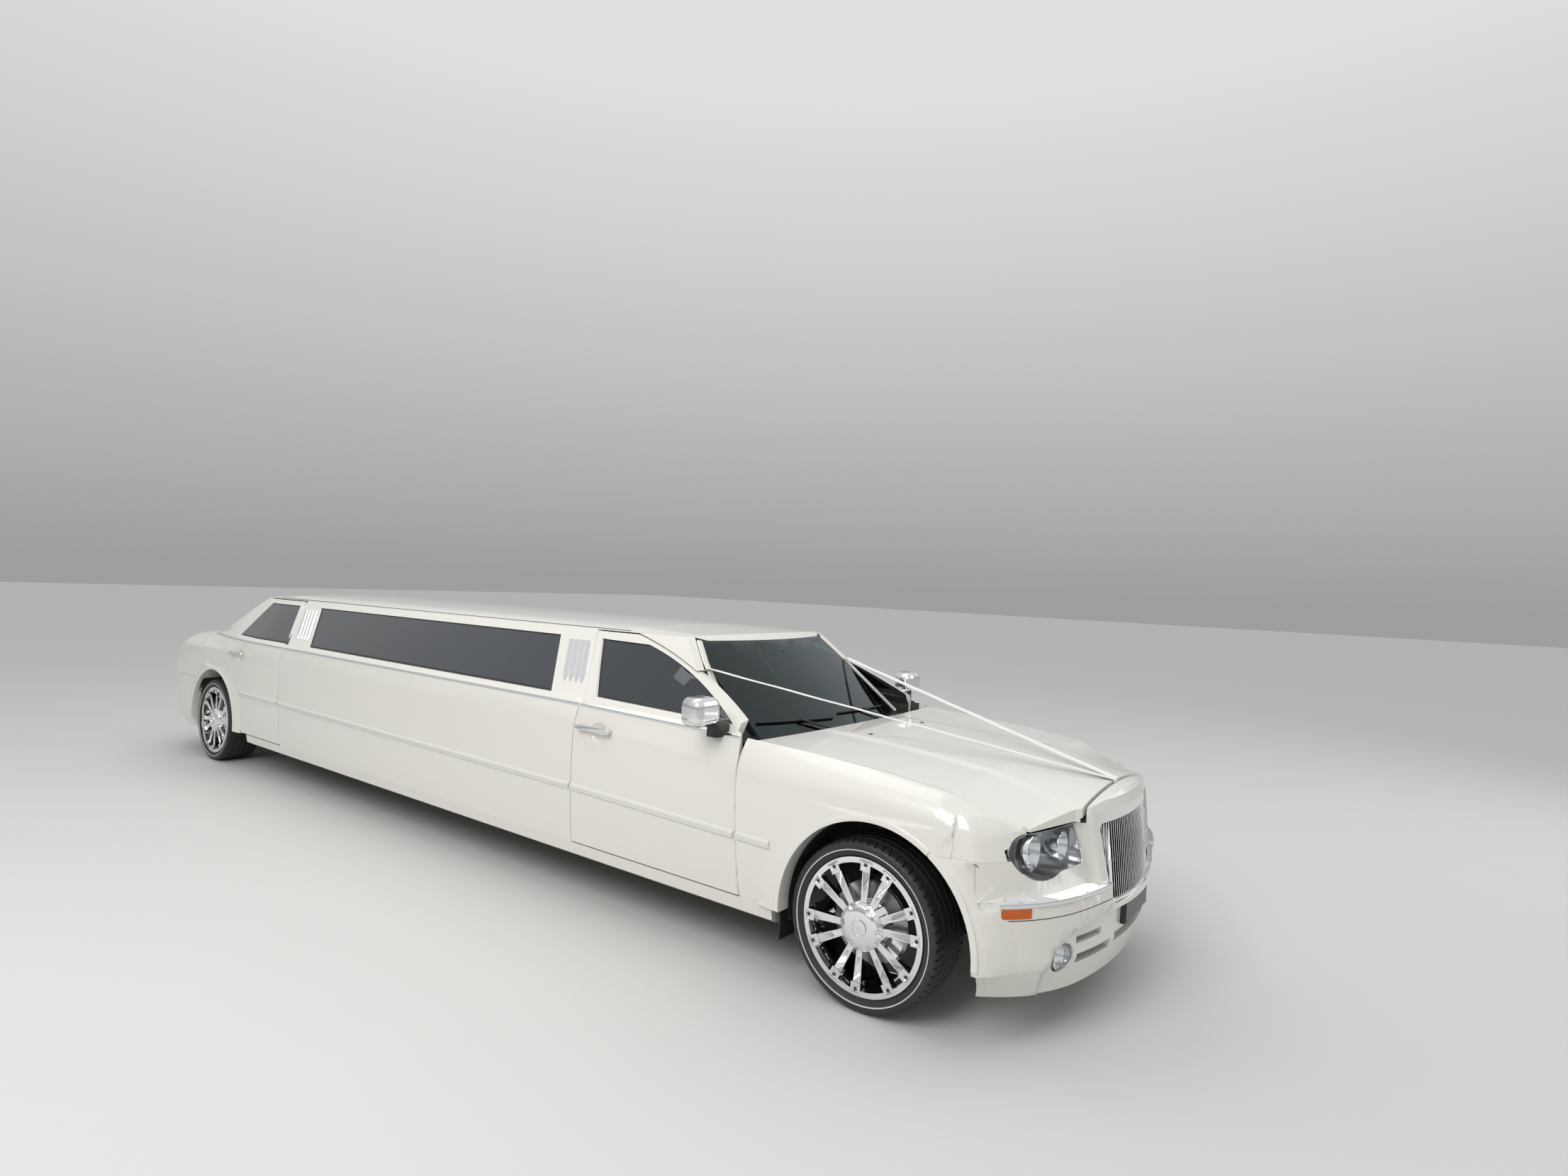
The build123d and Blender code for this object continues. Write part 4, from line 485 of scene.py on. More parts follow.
def lathe(bm, profile, centre, axis=ACROSS, steps=48):
    """A closed form turned about an axis, from (radius, along) points.

    The points start and end on the axis or at the same place.
    """
    centre = Vector(centre)
    axis = Vector(axis).normalized()
    out = axis.orthogonal().normalized()
    chain = [bm.verts.new(centre + out * radius + axis * along) for radius, along in profile]
    edges = [bm.edges.new(pair) for pair in zip(chain, chain[1:])]
    bmesh.ops.spin(bm, geom=chain + edges, cent=centre, axis=axis, dvec=(0, 0, 0), angle=math.tau,
                   steps=steps, use_merge=True)
    bmesh.ops.remove_doubles(bm, verts=bm.verts, dist=SAME_POINT)
    bmesh.ops.recalc_face_normals(bm, faces=bm.faces)


def rounded_block(bm, low, high, edge, segments=3):
    """A block between two corners with round edges."""
    low, high = Vector(low), Vector(high)
    made = bmesh.ops.create_cube(bm, size=1)["verts"]
    for vert in made:
        vert.co = Vector((low[k] + (vert.co[k] + 0.5) * (high[k] - low[k]) for k in range(3)))
    edges = list({edge_of for vert in made for edge_of in vert.link_edges})
    bmesh.ops.bevel(bm, geom=edges, offset=edge, segments=segments, profile=0.5, affect="EDGES", material=-1)


def shifted(block, by):
    """The corners and edge of a block, as rounded_block takes them, in another place."""
    low, high, *edge = block
    return (Vector(low) + by, Vector(high) + by, *edge)


def block_piece(name, body, slot, blocks, look=None):
    """A piece of blocks with round edges, each as rounded_block takes it."""
    bm = bmesh.new()
    for block in blocks:
        rounded_block(bm, *block)
    new_object(bm, name, body, slot, look)


def paired(name, body, slot, make, look=None, smooth_angle=SHARP_ANGLE):
    """A piece on the car's left and its mirror image; the body is named for the left."""
    made = []
    for side, sign in SIDES:
        bm = bmesh.new()
        make(bm)
        if sign < 0:
            bmesh.ops.scale(bm, vec=(-1, 1, 1), verts=bm.verts)
            bmesh.ops.reverse_faces(bm, faces=bm.faces)
        made.append(new_object(bm, f"{name}_{side}", body.replace("left", side), slot, look, smooth_angle))
    return made


def search_tree(node):
    """A tree that finds where rays meet a CAD node."""
    bm = bmesh.new()
    bm.from_mesh(NODES[node].data)
    tree = BVHTree.FromBMesh(bm)
    bm.free()
    return tree


def met(tree, start, way):
    """Where a ray meets the surface, and the way that the surface faces there."""
    point, facing, _, _ = tree.ray_cast(Vector(start), Vector(way))
    return point, facing


# Rays at the car from outside it: where they start, and their way
FAR_SIDE = 1.3
FAR_AHEAD = -6
FAR_BEHIND = 6
FAR_ABOVE = 2.5


def from_side(y, z):
    return (FAR_SIDE, y, z), (-1, 0, 0)


def from_front(x, z):
    return (x, FAR_AHEAD, z), (0, 1, 0)


def from_behind(x, z):
    return (x, FAR_BEHIND, z), (0, -1, 0)


def from_above(x, y):
    return (x, y, FAR_ABOVE), (0, 0, -1)


def laid_strip(bm, tree, rays, profile, size_at=None):
    """A strip of one profile, its points (across, proud), laid on a surface along a row of rays."""
    hits = [met(tree, *ray) for ray in rays]
    hits = [hit for hit in hits if hit[0]]
    last = len(hits) - 1
    rings = []
    for i, (point, facing) in enumerate(hits):
        run = hits[min(i + 1, last)][0] - hits[max(i - 1, 0)][0]
        across = facing.cross(run).normalized()
        size = size_at(i / last) if size_at else 1
        rings.append([point + across * a * size + facing * p for a, p in profile])
    skin_over(bm, rings)


def paired_strip(name, body, slot, tree, rays, profile, look=None):
    """A strip laid on the car's left side, and its mirror image."""
    paired(name, body, slot, lambda bm: laid_strip(bm, tree, rays, profile), look)


def spaced(low, high, count):
    return [low + (high - low) * k / (count - 1) for k in range(count)]


def line_over(points):
    """A height along the car that follows straight runs between (y, z) points."""
    def height(y):
        for (y0, z0), (y1, z1) in zip(points, points[1:]):
            if y <= y1:
                break
        return z0 + (z1 - z0) * (y - y0) / (y1 - y0)
    return height


def reach(tree, rays_at, low, high, step=0.003, margin=0.003, steep=0.6):
    """The stretch between two values where the surface is met and faces out of the car's side."""
    values = [low + k * step for k in range(int((high - low) / step) + 1)]
    found = []
    for value in values:
        point, facing = met(tree, *rays_at(value))
        if point and facing.x > steep:
            found.append(value)
    return (found[0] + margin, found[-1] - margin) if found else None


def inner_face(facing, middle):
    return facing.x * middle.x < 0 and abs(facing.x) > 0.5


def outer_pane_face(facing, middle):
    sideways = facing.x * middle.x > 0 and abs(facing.x) > 0.5
    return sideways or facing.z > 0.15


# The step in the front bumper under the headlamps, from part.py
LEDGE_TOP = 0.588

# Second finishes: nodes, look, and which faces get it
TRIMMED = (
    (("door_front", "door_rear", "side_panel", "quarter_panel"), "trim_plastic", inner_face),
    (("roof",), "headlining", lambda facing, middle: facing.z < -0.3 and abs(middle.x) < 0.6),
    (("floor_pan",), "carpet", lambda facing, middle: facing.z > 0.5 and middle.z < 0.45),
    (("side_mirror",), "gloss_black", lambda facing, middle: middle.z < 1.082),
    (("boot_lid",), "black_plastic", lambda facing, middle: facing.z < -0.5),
    (("front_bumper",), "chrome",
     lambda facing, middle: facing.z > 0.7 and abs(middle.z - LEDGE_TOP) < 0.003 and abs(middle.x) > 0.30),
)
REPLACED_LATER = ("tyre_", "windscreen", "cabin_glass", "door_glass_", "front_lamps", "tail_lamps", "bonnet",
                  "front_seats", "rear_seats", "side_bench")
PANEL_ANGLE = math.radians(28)

# The wheel arch flares, from part.py: each end's outer radius, and the nodes that it crosses
FLARED = (("front", 0.575, ("front_bumper", "wing")),
          ("rear", 0.556, ("rear_bumper", "quarter_panel", "door_rear")))
# The flare's radius beside the lip, and how far out it stands there and at its outer radius
FLARE_TOP_R = 0.457
FLARE_TOP_X = 0.946
FLARE_FOOT_X = 0.933
# The slanted cut that trims the flare's top: the height at which it begins, and its slope
FLARE_CUT_Z = 0.812
FLARE_CUT_SLOPE = 100 / 130
# How near a point must be to the flare's face, or to its outer edge, to be drawn in
NEAR_FACE = 0.0012
NEAR_EDGE = 0.0008
# How far out the points of that edge lie at least, and the body beside it
EDGE_X = 0.78
BODY_X = 0.72
# How steeply the swell falls off towards the outer radius
FLARE_FALL = 1.5


def draw_in_flares(bm, node):
    """Lets the wheel arch flares swell out of the body instead of ending in a step."""
    for end, outer, names in FLARED:
        if not node.startswith(names):
            continue
        centre = dict(AXLES)[end] + ARCH_CENTRE_SHIFT

        def radius_of(vert):
            return math.hypot(vert.co.y - centre, vert.co.z - AXLE_Z)

        def share_of(vert):
            return (radius_of(vert) - FLARE_TOP_R) / (outer - FLARE_TOP_R)

        def on_flare(vert):
            share = share_of(vert)
            flare_x = FLARE_TOP_X + (FLARE_FOOT_X - FLARE_TOP_X) * share
            cut_x = FLARE_TOP_X - (vert.co.z - FLARE_CUT_Z) * FLARE_CUT_SLOPE
            return -0.01 < share < 1.01 and abs(abs(vert.co.x) - min(flare_x, cut_x)) < NEAR_FACE

        faces = [face for face in bm.faces if all(on_flare(vert) for vert in face.verts)]
        bmesh.ops.subdivide_edges(bm, edges=list({edge for face in faces for edge in face.edges}), cuts=3)
        tree = BVHTree.FromBMesh(bm)
        moves = []
        for vert in bm.verts:
            radius = radius_of(vert)
            on_edge = abs(radius - outer) < NEAR_EDGE and abs(vert.co.x) > EDGE_X
            if not on_flare(vert) and not on_edge:
                continue
            side = math.copysign(1, vert.co.x)
            out = (outer + 0.002) / radius
            y, z = centre + (vert.co.y - centre) * out, AXLE_Z + (vert.co.z - AXLE_Z) * out
            start = Vector((FAR_SIDE * side, y, z))
            point, _ = met(tree, start, (-side, 0, 0))
            if point and abs(point.x) > BODY_X:
                fall = clamped(share_of(vert)) ** FLARE_FALL
                drawn = FLARE_TOP_X + (min(abs(point.x), FLARE_FOOT_X) - FLARE_TOP_X) * fall
                moves.append((vert, side * min(drawn, abs(vert.co.x))))
        for vert, x in moves:
            vert.co.x = x
        bmesh.ops.remove_doubles(bm, verts=bm.verts, dist=4e-4)
        bmesh.ops.dissolve_degenerate(bm, edges=bm.edges, dist=1e-5)


class LIMO_OT_finishes(bpy.types.Operator):
    """Gives the CAD nodes that stay their finish, with panels that shade smoothly."""

    bl_idname = "limo.finishes"
    bl_label = "Finishes"

    def execute(self, context):
        for node, body in BODY_OF.items():
            if node.startswith(REPLACED_LATER):
                continue
            bm = merged_mesh(node)
            draw_in_flares(bm, node)
            skin = new_object(bm, f"{node}_skin", body, SLOT_OF[node], smooth_angle=PANEL_ANGLE)
            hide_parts(node)
            if SLOT_OF[node] == "paint":
                even_shading(skin)
            for nodes, look, test in TRIMMED:
                if node.startswith(nodes):
                    second_finish(skin, look, test)
        return {"FINISHED"}


# Panes: node, how wide the black border is, and its look
PANE_BORDERS = (
    ("windscreen", 0.045, "gloss_black"), ("cabin_glass", 0.014, "black_plastic"),
    *((f"door_glass_{door}_{side}", 0.012, "black_plastic")
      for door in ("front", "rear") for side, _ in SIDES))
# How far apart the border's rings stand, how proud they are of the glass, and how deep they reach
BORDER_STEP = 0.022
BORDER_PROUD = 0.0008
BORDER_SUNK = 0.001
# The pillar covers beside the windscreen: how far in from its edge, from which height to which, and rays
COVER_INSET = 0.016
COVER_ROWS = (0.985, 1.42, 24)
COVER_PROFILE = ((-0.014, 0.001), (-0.014, 0.005), (-0.009, 0.009), (0.010, 0.009), (0.020, 0.004),
                 (0.022, 0.001))


def outlines(faces):
    """The closed outlines of a set of faces, each a list of points."""
    inside = set(faces)
    beyond = {}
    for face in faces:
        for loop in face.loops:
            if not any(other in inside for other in loop.edge.link_faces if other is not face):
                beyond[loop.vert] = loop.link_loop_next.vert
    while beyond:
        start, vert = beyond.popitem()
        points = [start.co.copy()]
        while vert is not start and vert in beyond:
            points.append(vert.co.copy())
            vert = beyond.pop(vert)
        if len(points) > 3:
            yield points


def evenly(points, step):
    """The closed line as points at even distances."""
    ends = points[1:] + points[:1]
    total = sum((b - a).length for a, b in zip(points, ends))
    count = max(int(total / step), 8)
    made, run, target = [], 0, 0
    for a, b in zip(points, ends):
        length = (b - a).length
        while target < run + length - 1e-9 and len(made) < count:
            made.append(a.lerp(b, (target - run) / length))
            target += total / count
        run += length
    return made


# The windscreen's edge is searched from this far out to this far out, in these steps
SCREEN_SEARCH = (0.80, 0.4, 0.002)


def screen_edge(tree, z):
    """How far out the windscreen reaches at a height."""
    x, last, step = SCREEN_SEARCH
    while met(tree, *from_front(x, z))[0] is None and x > last:
        x -= step
    return x


def border_ring(tree, points, i, middle, border):
    """The border's section at one of its outline's points, on the pane's face."""
    point = points[i]
    run = (points[(i + 1) % len(points)] - points[i - 1]).normalized()
    _, facing, _, _ = tree.find_nearest(point.lerp(middle, 0.03))
    inwards = facing.cross(run).normalized()
    if inwards.dot(middle - point) < 0:
        inwards = -inwards
    inner, facing, _, _ = tree.find_nearest(point + inwards * border)
    return [point + facing * BORDER_PROUD, inner + facing * BORDER_PROUD, inner - facing * BORDER_SUNK,
            point - facing * BORDER_SUNK]


class LIMO_OT_panes(bpy.types.Operator):
    """Window panes with their black borders, and the white pillar covers beside the windscreen."""

    bl_idname = "limo.panes"
    bl_label = "Panes"

    def execute(self, context):
        for node, border, look in PANE_BORDERS:
            bm = merged_mesh(node)
            outer = [face for face in bm.faces if outer_pane_face(face.normal, face.calc_center_median())]
            tree = BVHTree.FromBMesh(bm)
            rims = bmesh.new()
            for points in outlines(outer):
                points = evenly(points, BORDER_STEP)
                middle = sum(points, Vector()) / len(points)
                rings = [border_ring(tree, points, i, middle, border) for i in range(len(points))]
                skin_over(rims, rings, closed=True)
            new_object(rims, f"{node}_border", BODY_OF[node], SLOT_OF[node], look)
            pane = new_object(bm, f"{node}_pane", BODY_OF[node], SLOT_OF[node])
            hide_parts(node)

        tree = search_tree("windscreen")
        rays = [from_front(screen_edge(tree, z) - COVER_INSET, z) for z in spaced(*COVER_ROWS)]
        paired_strip("pillar_cover", "root", "paint", tree, rays, COVER_PROFILE)
        return {"FINISHED"}


# The bonnet's raised middle: how far out its crease lies along the car, and how wide the ramp beside it is
CREASE_LINE = line_over(((FRONT_AXLE - 0.73, 0.435), (FRONT_AXLE - 0.33, 0.395), (FRONT_AXLE + 0.08, 0.357),
                         (FRONT_AXLE + 0.62, 0.33)))
CREASE_RAMP = 0.04
# Where it ends near the windscreen, and over what length it fades out there
CREASE_END = FRONT_AXLE + 0.6
CREASE_FADE = 0.3
# The slices that give the bonnet's large faces enough points, across (0) and along (1)
SLICES = ((0, 0.02), (1, 0.06))
BONNET_ANGLE = math.radians(24)
# The washer jets: their places, and the corners of one from its place, with its edge
JETS_X = (-0.27, 0.27)
JETS_Y = FRONT_AXLE + 0.36
JET = ((-0.013, -0.009, -0.002), (0.013, 0.011, 0.009), 0.004)


class LIMO_OT_bonnet(bpy.types.Operator):
    """The bonnet with its raised middle between two creases, and the washer jets."""

    bl_idname = "limo.bonnet"
    bl_label = "Bonnet"

    def execute(self, context):
        low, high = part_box("bonnet")
        bm = merged_mesh("bonnet")
        for axis, step in SLICES:
            for k in range(1, int((high[axis] - low[axis]) / step) + 1):
                spot, way = Vector(), Vector()
                spot[axis] = low[axis] + k * step
                way[axis] = 1
                everything = bm.verts[:] + bm.edges[:] + bm.faces[:]
                bmesh.ops.bisect_plane(bm, geom=everything, dist=1e-5, plane_co=spot, plane_no=way)
        bm.normal_update()
        height = settings().trim.crease
        for vert in bm.verts:
            if vert.normal.z < 0.25:
                continue
            share = clamped((CREASE_LINE(vert.co.y) + CREASE_RAMP - abs(vert.co.x)) / CREASE_RAMP)
            fade = clamped((CREASE_END - vert.co.y) / CREASE_FADE)
            vert.co.z += height * fade * share * share * (3 - 2 * share)
        bonnet = new_object(bm, "bonnet_skin", "bonnet", "paint", smooth_angle=BONNET_ANGLE)
        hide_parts("bonnet")
        even_shading(bonnet)
        second_finish(bonnet, "black_plastic", lambda facing, middle: facing.z < -0.5)

        tree = search_tree("bonnet")
        spots = [met(tree, *from_above(x, JETS_Y))[0] for x in JETS_X]
        block_piece("washer_jets", "bonnet", "black_plastic", [shifted(JET, spot) for spot in spots])
        return {"FINISHED"}


# One side of the tyre from the bead to the tread, as (out from the middle, radius)
TYRE_SIDE = ((0.1105, 0.2735), (0.1120, 0.2850), (0.1180, 0.2905), (0.1205, 0.2990), (0.1212, 0.3010),
             (0.1262, 0.3080), (0.1290, 0.3150), (0.1300, 0.3240), (0.1285, 0.3330), (0.1245, 0.3405))
SHOULDER = ((0.1180, 0.3452), (0.1105, 0.3478))
# The long grooves: how far out they lie, half their width, and the slope of their walls
GROOVES = (0.021, 0.061)
GROOVE_HALF = 0.0045
GROOVE_SLOPE = 0.0014
# Where the ribs beside a groove round off, and the rows of the shoulder blocks
RIB_EDGE = 0.006
SHOULDER_ROWS = (0.071, 0.102)
# How much lower the tread is this far out than in its middle
CROWN_DROP = 0.0034
CROWN_OUT = 0.11
# The edges of the cuts in one tread block, as shares of its pitch: the shoulder groove from the second to the
# third, and the sipe at the sixth; then how deep the two are
COLUMNS = (0.0, 0.05, 0.17, 0.22, 0.56, 0.60, 0.64)
SHOULDER_CUT = 0.0055
SIPE_CUT = 0.003
TREAD_ANGLE = math.radians(30)
# The bright ring on the sidewall: how far out it lies, and its (radius, proud) points
RING_OUT = 0.1276
RING_PROFILE = ((0.3110, 0), (0.3115, 0.0022), (0.3135, 0.0030), (0.3155, 0.0026), (0.3160, 0), (0.3110, 0))


def tread_rows():
    """The tyre's section from the inner bead to the outer one: (out, radius, kind)."""
    half = [(0.0, "rib")]
    for g in GROOVES:
        half += [(g - GROOVE_HALF - RIB_EDGE, "rib"), (g - GROOVE_HALF, "rib"),
                 (g - GROOVE_HALF + GROOVE_SLOPE, "groove"), (g + GROOVE_HALF - GROOVE_SLOPE, "groove"),
                 (g + GROOVE_HALF, "rib")]
    half += [(x, "shoulder") for x in SHOULDER_ROWS]
    rows = [(x, TYRE_RADIUS - CROWN_DROP * (x / CROWN_OUT) ** 2, kind) for x, kind in half]
    rows += [(x, r, "shoulder") for x, r in reversed(SHOULDER)]
    rows += [(x, r, "side") for x, r in reversed(TYRE_SIDE)]
    return [(-x, r, kind) for x, r, kind in reversed(rows[1:])] + rows


class LIMO_OT_tyres(bpy.types.Operator):
    """Four tyres with long grooves, leaning shoulder grooves, fine sipes and a bright ring on the side."""

    bl_idname = "limo.tyres"
    bl_label = "Tyres"

    def execute(self, context):
        tyre = settings().tyre
        rows = tread_rows()
        pitch = math.tau / tyre.pitches
        columns = tyre.pitches * len(COLUMNS)

        for end, axle in AXLES:
            def place(column, row):
                x, radius, kind = rows[row]
                turn, spot = divmod(column % columns, len(COLUMNS))
                angle = (turn + COLUMNS[spot]) * pitch + tyre.swing * min(abs(x), CROWN_OUT)
                if kind == "groove":
                    radius -= tyre.groove
                elif kind == "shoulder" and spot in (1, 2):
                    radius -= SHOULDER_CUT
                elif kind == "rib" and spot == 5:
                    radius -= SIPE_CUT
                along, up = radius * math.cos(angle), radius * math.sin(angle)
                return Vector((TYRE_MIDDLE + x, axle + along, AXLE_Z + up))

            def tread(bm):
                made = mapped_grid(bm, columns, len(rows) - 1, place)
                bmesh.ops.remove_doubles(bm, verts=made, dist=SAME_POINT)
                bmesh.ops.bridge_loops(bm, edges=[edge for edge in bm.edges if edge.is_boundary])
                bmesh.ops.recalc_face_normals(bm, faces=bm.faces)

            def ring(bm):
                profile = [(radius, RING_OUT + proud) for radius, proud in RING_PROFILE]
                lathe(bm, profile, (TYRE_MIDDLE, axle, AXLE_Z), steps=160)

            wheel = f"{end}_wheel_left"
            treads = paired(f"tyre_{end}_tread", wheel, "tyre", tread, smooth_angle=TREAD_ANGLE)
            for piece, (side, _) in zip(treads, SIDES):
                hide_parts(f"tyre_{end}_{side}")
            paired(f"tyre_{end}_ring", wheel, "tyre", ring, "white_ring")
        return {"FINISHED"}


# The bolts in the rim, from part.py: their circle and the face that they sit on, and in degrees where the
# first pair of spokes lies, how far on the next one is, and how far the bolts lie from their pair's middle
BOLT_CIRCLE = 0.257
BOLT_FACE = 0.896
FIRST_PAIR = 45
PAIR_STEP = 60
PAIR_SPREAD = 12.2
BOLT_PROFILE = ((0, 0.0035), (0.0035, 0.0035), (0.0042, 0.006), (0.0066, 0.006), (0.0074, 0.0045),
                (0.0074, -0.001), (0, -0.001))
# The hub cap's ring, as (radius, out from the car's middle)
CAP_RING_PROFILE = ((0.030, 0.9165), (0.0315, 0.9195), (0.0345, 0.9195), (0.036, 0.9165), (0.030, 0.9165))
# The brake disc: the radii of its hole and rim, its two faces, how thick each plate is, and the gap's depth
DISC_HOLE = 0.100
DISC_RADIUS = 0.1695
DISC_FACES = (0.7992, 0.8250)
DISC_PLATE = 0.009
DISC_GAP = 0.006
# The caliper: its section as (out from the car's middle, radius), and the arc that it spans
CALIPER_SECTION = ((0.786, 0.118), (0.796, 0.118), (0.796, 0.172), (0.828, 0.172), (0.828, 0.118),
                   (0.844, 0.118), (0.850, 0.126), (0.850, 0.176), (0.840, 0.188), (0.792, 0.188),
                   (0.786, 0.180))
CALIPER_ARC = (math.radians(150), math.radians(205), 14)


class LIMO_OT_wheels(bpy.types.Operator):
    """Bolts in the rim's bosses, the ring on the hub cap, brake discs and their calipers."""

    bl_idname = "limo.wheels"
    bl_label = "Wheels"

    def execute(self, context):
        low, high = DISC_FACES
        inner_r = DISC_RADIUS - DISC_GAP
        disc_profile = ((DISC_HOLE, low), (DISC_RADIUS, low), (DISC_RADIUS, low + DISC_PLATE),
                        (inner_r, low + DISC_PLATE), (inner_r, high - DISC_PLATE),
                        (DISC_RADIUS, high - DISC_PLATE), (DISC_RADIUS, high), (DISC_HOLE, high),
                        (DISC_HOLE, low))
        for end, axle in AXLES:
            hub = Vector((0, axle, AXLE_Z))

            def bolts(bm):
                for first in range(FIRST_PAIR, FIRST_PAIR + 360, PAIR_STEP):
                    for lean in (-PAIR_SPREAD, PAIR_SPREAD):
                        angle = math.radians(first + lean)
                        along, up = BOLT_CIRCLE * math.cos(angle), BOLT_CIRCLE * math.sin(angle)
                        lathe(bm, BOLT_PROFILE, hub + Vector((BOLT_FACE, along, up)), steps=12)

            def caliper(bm):
                rings = []
                for angle in spaced(*CALIPER_ARC):
                    way = Vector((0, math.cos(angle), math.sin(angle)))
                    rings.append([hub + way * radius + Vector((x, 0, 0)) for x, radius in CALIPER_SECTION])
                skin_over(bm, rings)

            wheel = f"{end}_wheel_left"
            carrier = "steering_left" if end == "front" else "root"
            paired(f"wheel_bolts_{end}", wheel, "alloy", bolts, "bolt")
            paired(f"cap_ring_{end}", wheel, "chrome", lambda bm: lathe(bm, CAP_RING_PROFILE, hub, steps=64))
            paired(f"brake_disc_{end}", wheel, "alloy", lambda bm: lathe(bm, disc_profile, hub, steps=96),
                   "brake")
            paired(f"brake_caliper_{end}", carrier, "alloy", caliper)
        return {"FINISHED"}


# Lines along the side: the belt under the windows, and the moulding across the doors
BELT = line_over(((FRONT_AXLE + 0.56, 1.027), (FRONT_AXLE + 1.8, 1.057), (REAR_AXLE - 0.7, 1.082),
                  (REAR_AXLE - 0.2, 1.086), (REAR_AXLE + 0.33, 1.090)))
MOULD = line_over(((FRONT_AXLE + 0.45, 0.597), (FRONT_AXLE + 1.8, 0.622), (REAR_AXLE - 0.7, 0.652),
                   (REAR_AXLE - 0.2, 0.655)))
MOULD_FIRST = FRONT_AXLE + 0.455
MOULD_LAST = REAR_AXLE - 0.585
MOULD_NODES = ("wing", "door_front", "side_panel", "door_rear")
MOULDING = ((-0.019, -0.002), (-0.019, 0.004), (-0.013, 0.009), (0.013, 0.009), (0.019, 0.004),
            (0.019, -0.002))
INSERT = ((-0.0045, 0.007), (-0.004, 0.0112), (0.004, 0.0112), (0.0045, 0.007))
BELT_PROFILE = ((-0.009, -0.002), (-0.008, 0.003), (-0.004, 0.0058), (0.004, 0.0058), (0.008, 0.003),
                (0.009, -0.002))
DRIP_PROFILE = ((-0.003, -0.001), (-0.0025, 0.002), (0.0025, 0.002), (0.003, -0.001))
# How far a panel must face sideways to carry a strip, and how far the roof
FACING_SIDE = 0.6
FACING_ROOF = 0.2

# Strips along the side: name, profile, slot, how far the panel must face sideways, height, first and last
# place along the car, and the nodes
SIDE_STRIPS = (
    ("belt_strip", BELT_PROFILE, "chrome", FACING_SIDE, BELT, CAR_LOW.y, REAR_AXLE + 0.28,
     ("door_front", "side_panel", "door_rear", "quarter_panel")),
    ("side_moulding", MOULDING, "paint", FACING_SIDE, MOULD, MOULD_FIRST, MOULD_LAST, MOULD_NODES),
    ("moulding_insert", INSERT, "chrome", FACING_SIDE, MOULD, MOULD_FIRST, MOULD_LAST, MOULD_NODES),
    ("roof_seam", DRIP_PROFILE, "black_plastic", FACING_ROOF, lambda y: 1.446, FRONT_AXLE + 1.35,
     REAR_AXLE - 0.33, ("roof",)),
)
STRIP_STEP = 0.12


class LIMO_OT_strips(bpy.types.Operator):
    """Chrome belt strips, side mouldings with their inserts, and the roof seams, cut at every door line."""

    bl_idname = "limo.strips"
    bl_label = "Side strips"

    def execute(self, context):
        for name, profile, slot, steep, height, first, last, nodes in SIDE_STRIPS:
            def rays_at(y):
                return from_side(y, height(y))

            for node in nodes:
                whole = node if node in NODES else f"{node}_left"
                tree = search_tree(whole)
                low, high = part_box(whole)
                span = reach(tree, rays_at, max(low.y, first), min(high.y, last), steep=steep)
                if span is None:
                    raise RuntimeError(f"{name} doesn't meet {node}")
                count = max(int((span[1] - span[0]) / STRIP_STEP), 3)
                rays = [rays_at(y) for y in spaced(*span, count)]
                paired_strip(f"{name}_{node}", BODY_OF[whole], slot, tree, rays, profile)
        return {"FINISHED"}


# The nodes round each arch that carry a lip
LIP_NODES = (("front", ("wing_left", "front_bumper")), ("rear", ("quarter_panel_left", "rear_bumper")))
# The lip's radius; the arc that is searched for it, with its steps and the margin at its ends; and how far
# apart its rings stand
LIP_RADIUS = ARCH_RADIUS + 0.0135
LIP_ARC = (math.radians(-15), math.radians(195), 0.006, 0.008)
LIP_STEP = math.radians(4)


class LIMO_OT_arch_lips(bpy.types.Operator):
    """Rolled lips in the body colour round the wheel arches."""

    bl_idname = "limo.arch_lips"
    bl_label = "Arch lips"

    def execute(self, context):
        proud = settings().trim.lip_proud
        profile = ((-0.013, -0.006), (-0.0135, proud * 0.7), (-0.009, proud), (0.006, proud),
                   (0.011, proud * 0.5), (0.012, -0.002))
        for end, nodes in LIP_NODES:
            centre = dict(AXLES)[end] + ARCH_CENTRE_SHIFT

            def rays_at(angle):
                return from_side(centre - LIP_RADIUS * math.cos(angle), AXLE_Z + LIP_RADIUS * math.sin(angle))

            for node in nodes:
                tree = search_tree(node)
                span = reach(tree, rays_at, *LIP_ARC)
                if span is None:
                    raise RuntimeError(f"the arch lip doesn't meet {node}")
                count = max(int((span[1] - span[0]) / LIP_STEP), 4)
                rays = [rays_at(angle) for angle in spaced(*span, count)]
                name = f"arch_lip_{node.replace('_left', '')}"
                paired_strip(name, BODY_OF[node], "paint", tree, rays, profile)
        return {"FINISHED"}


def bowl(bm, spot, radius, depth):
    """A bright reflector bowl with its bezel, open towards -Y."""
    lathe(bm, ((0, depth + 0.004), (radius * 0.7, depth), (radius * 1.04, depth * 0.45),
               (radius * 1.06, -0.004), (radius, -0.006), (radius * 0.95, 0.002),
               (radius * 0.86, depth * 0.35), (radius * 0.62, depth * 0.72), (radius * 0.3, depth * 0.92),
               (0, depth * 0.95)),
          spot, ALONG, 56)


def bulb(bm, spot, radius):
    """A bulb with its holder behind it."""
    lathe(bm, ((0, -radius * 0.9), (radius * 0.55, -radius * 0.75), (radius * 0.9, -radius * 0.2),
               (radius, radius * 0.4), (radius, radius * 1.6), (0, radius * 1.6)), spot, ALONG, 32)


LENS_WALL = 0.003
HOUSING_WALL = 0.0025


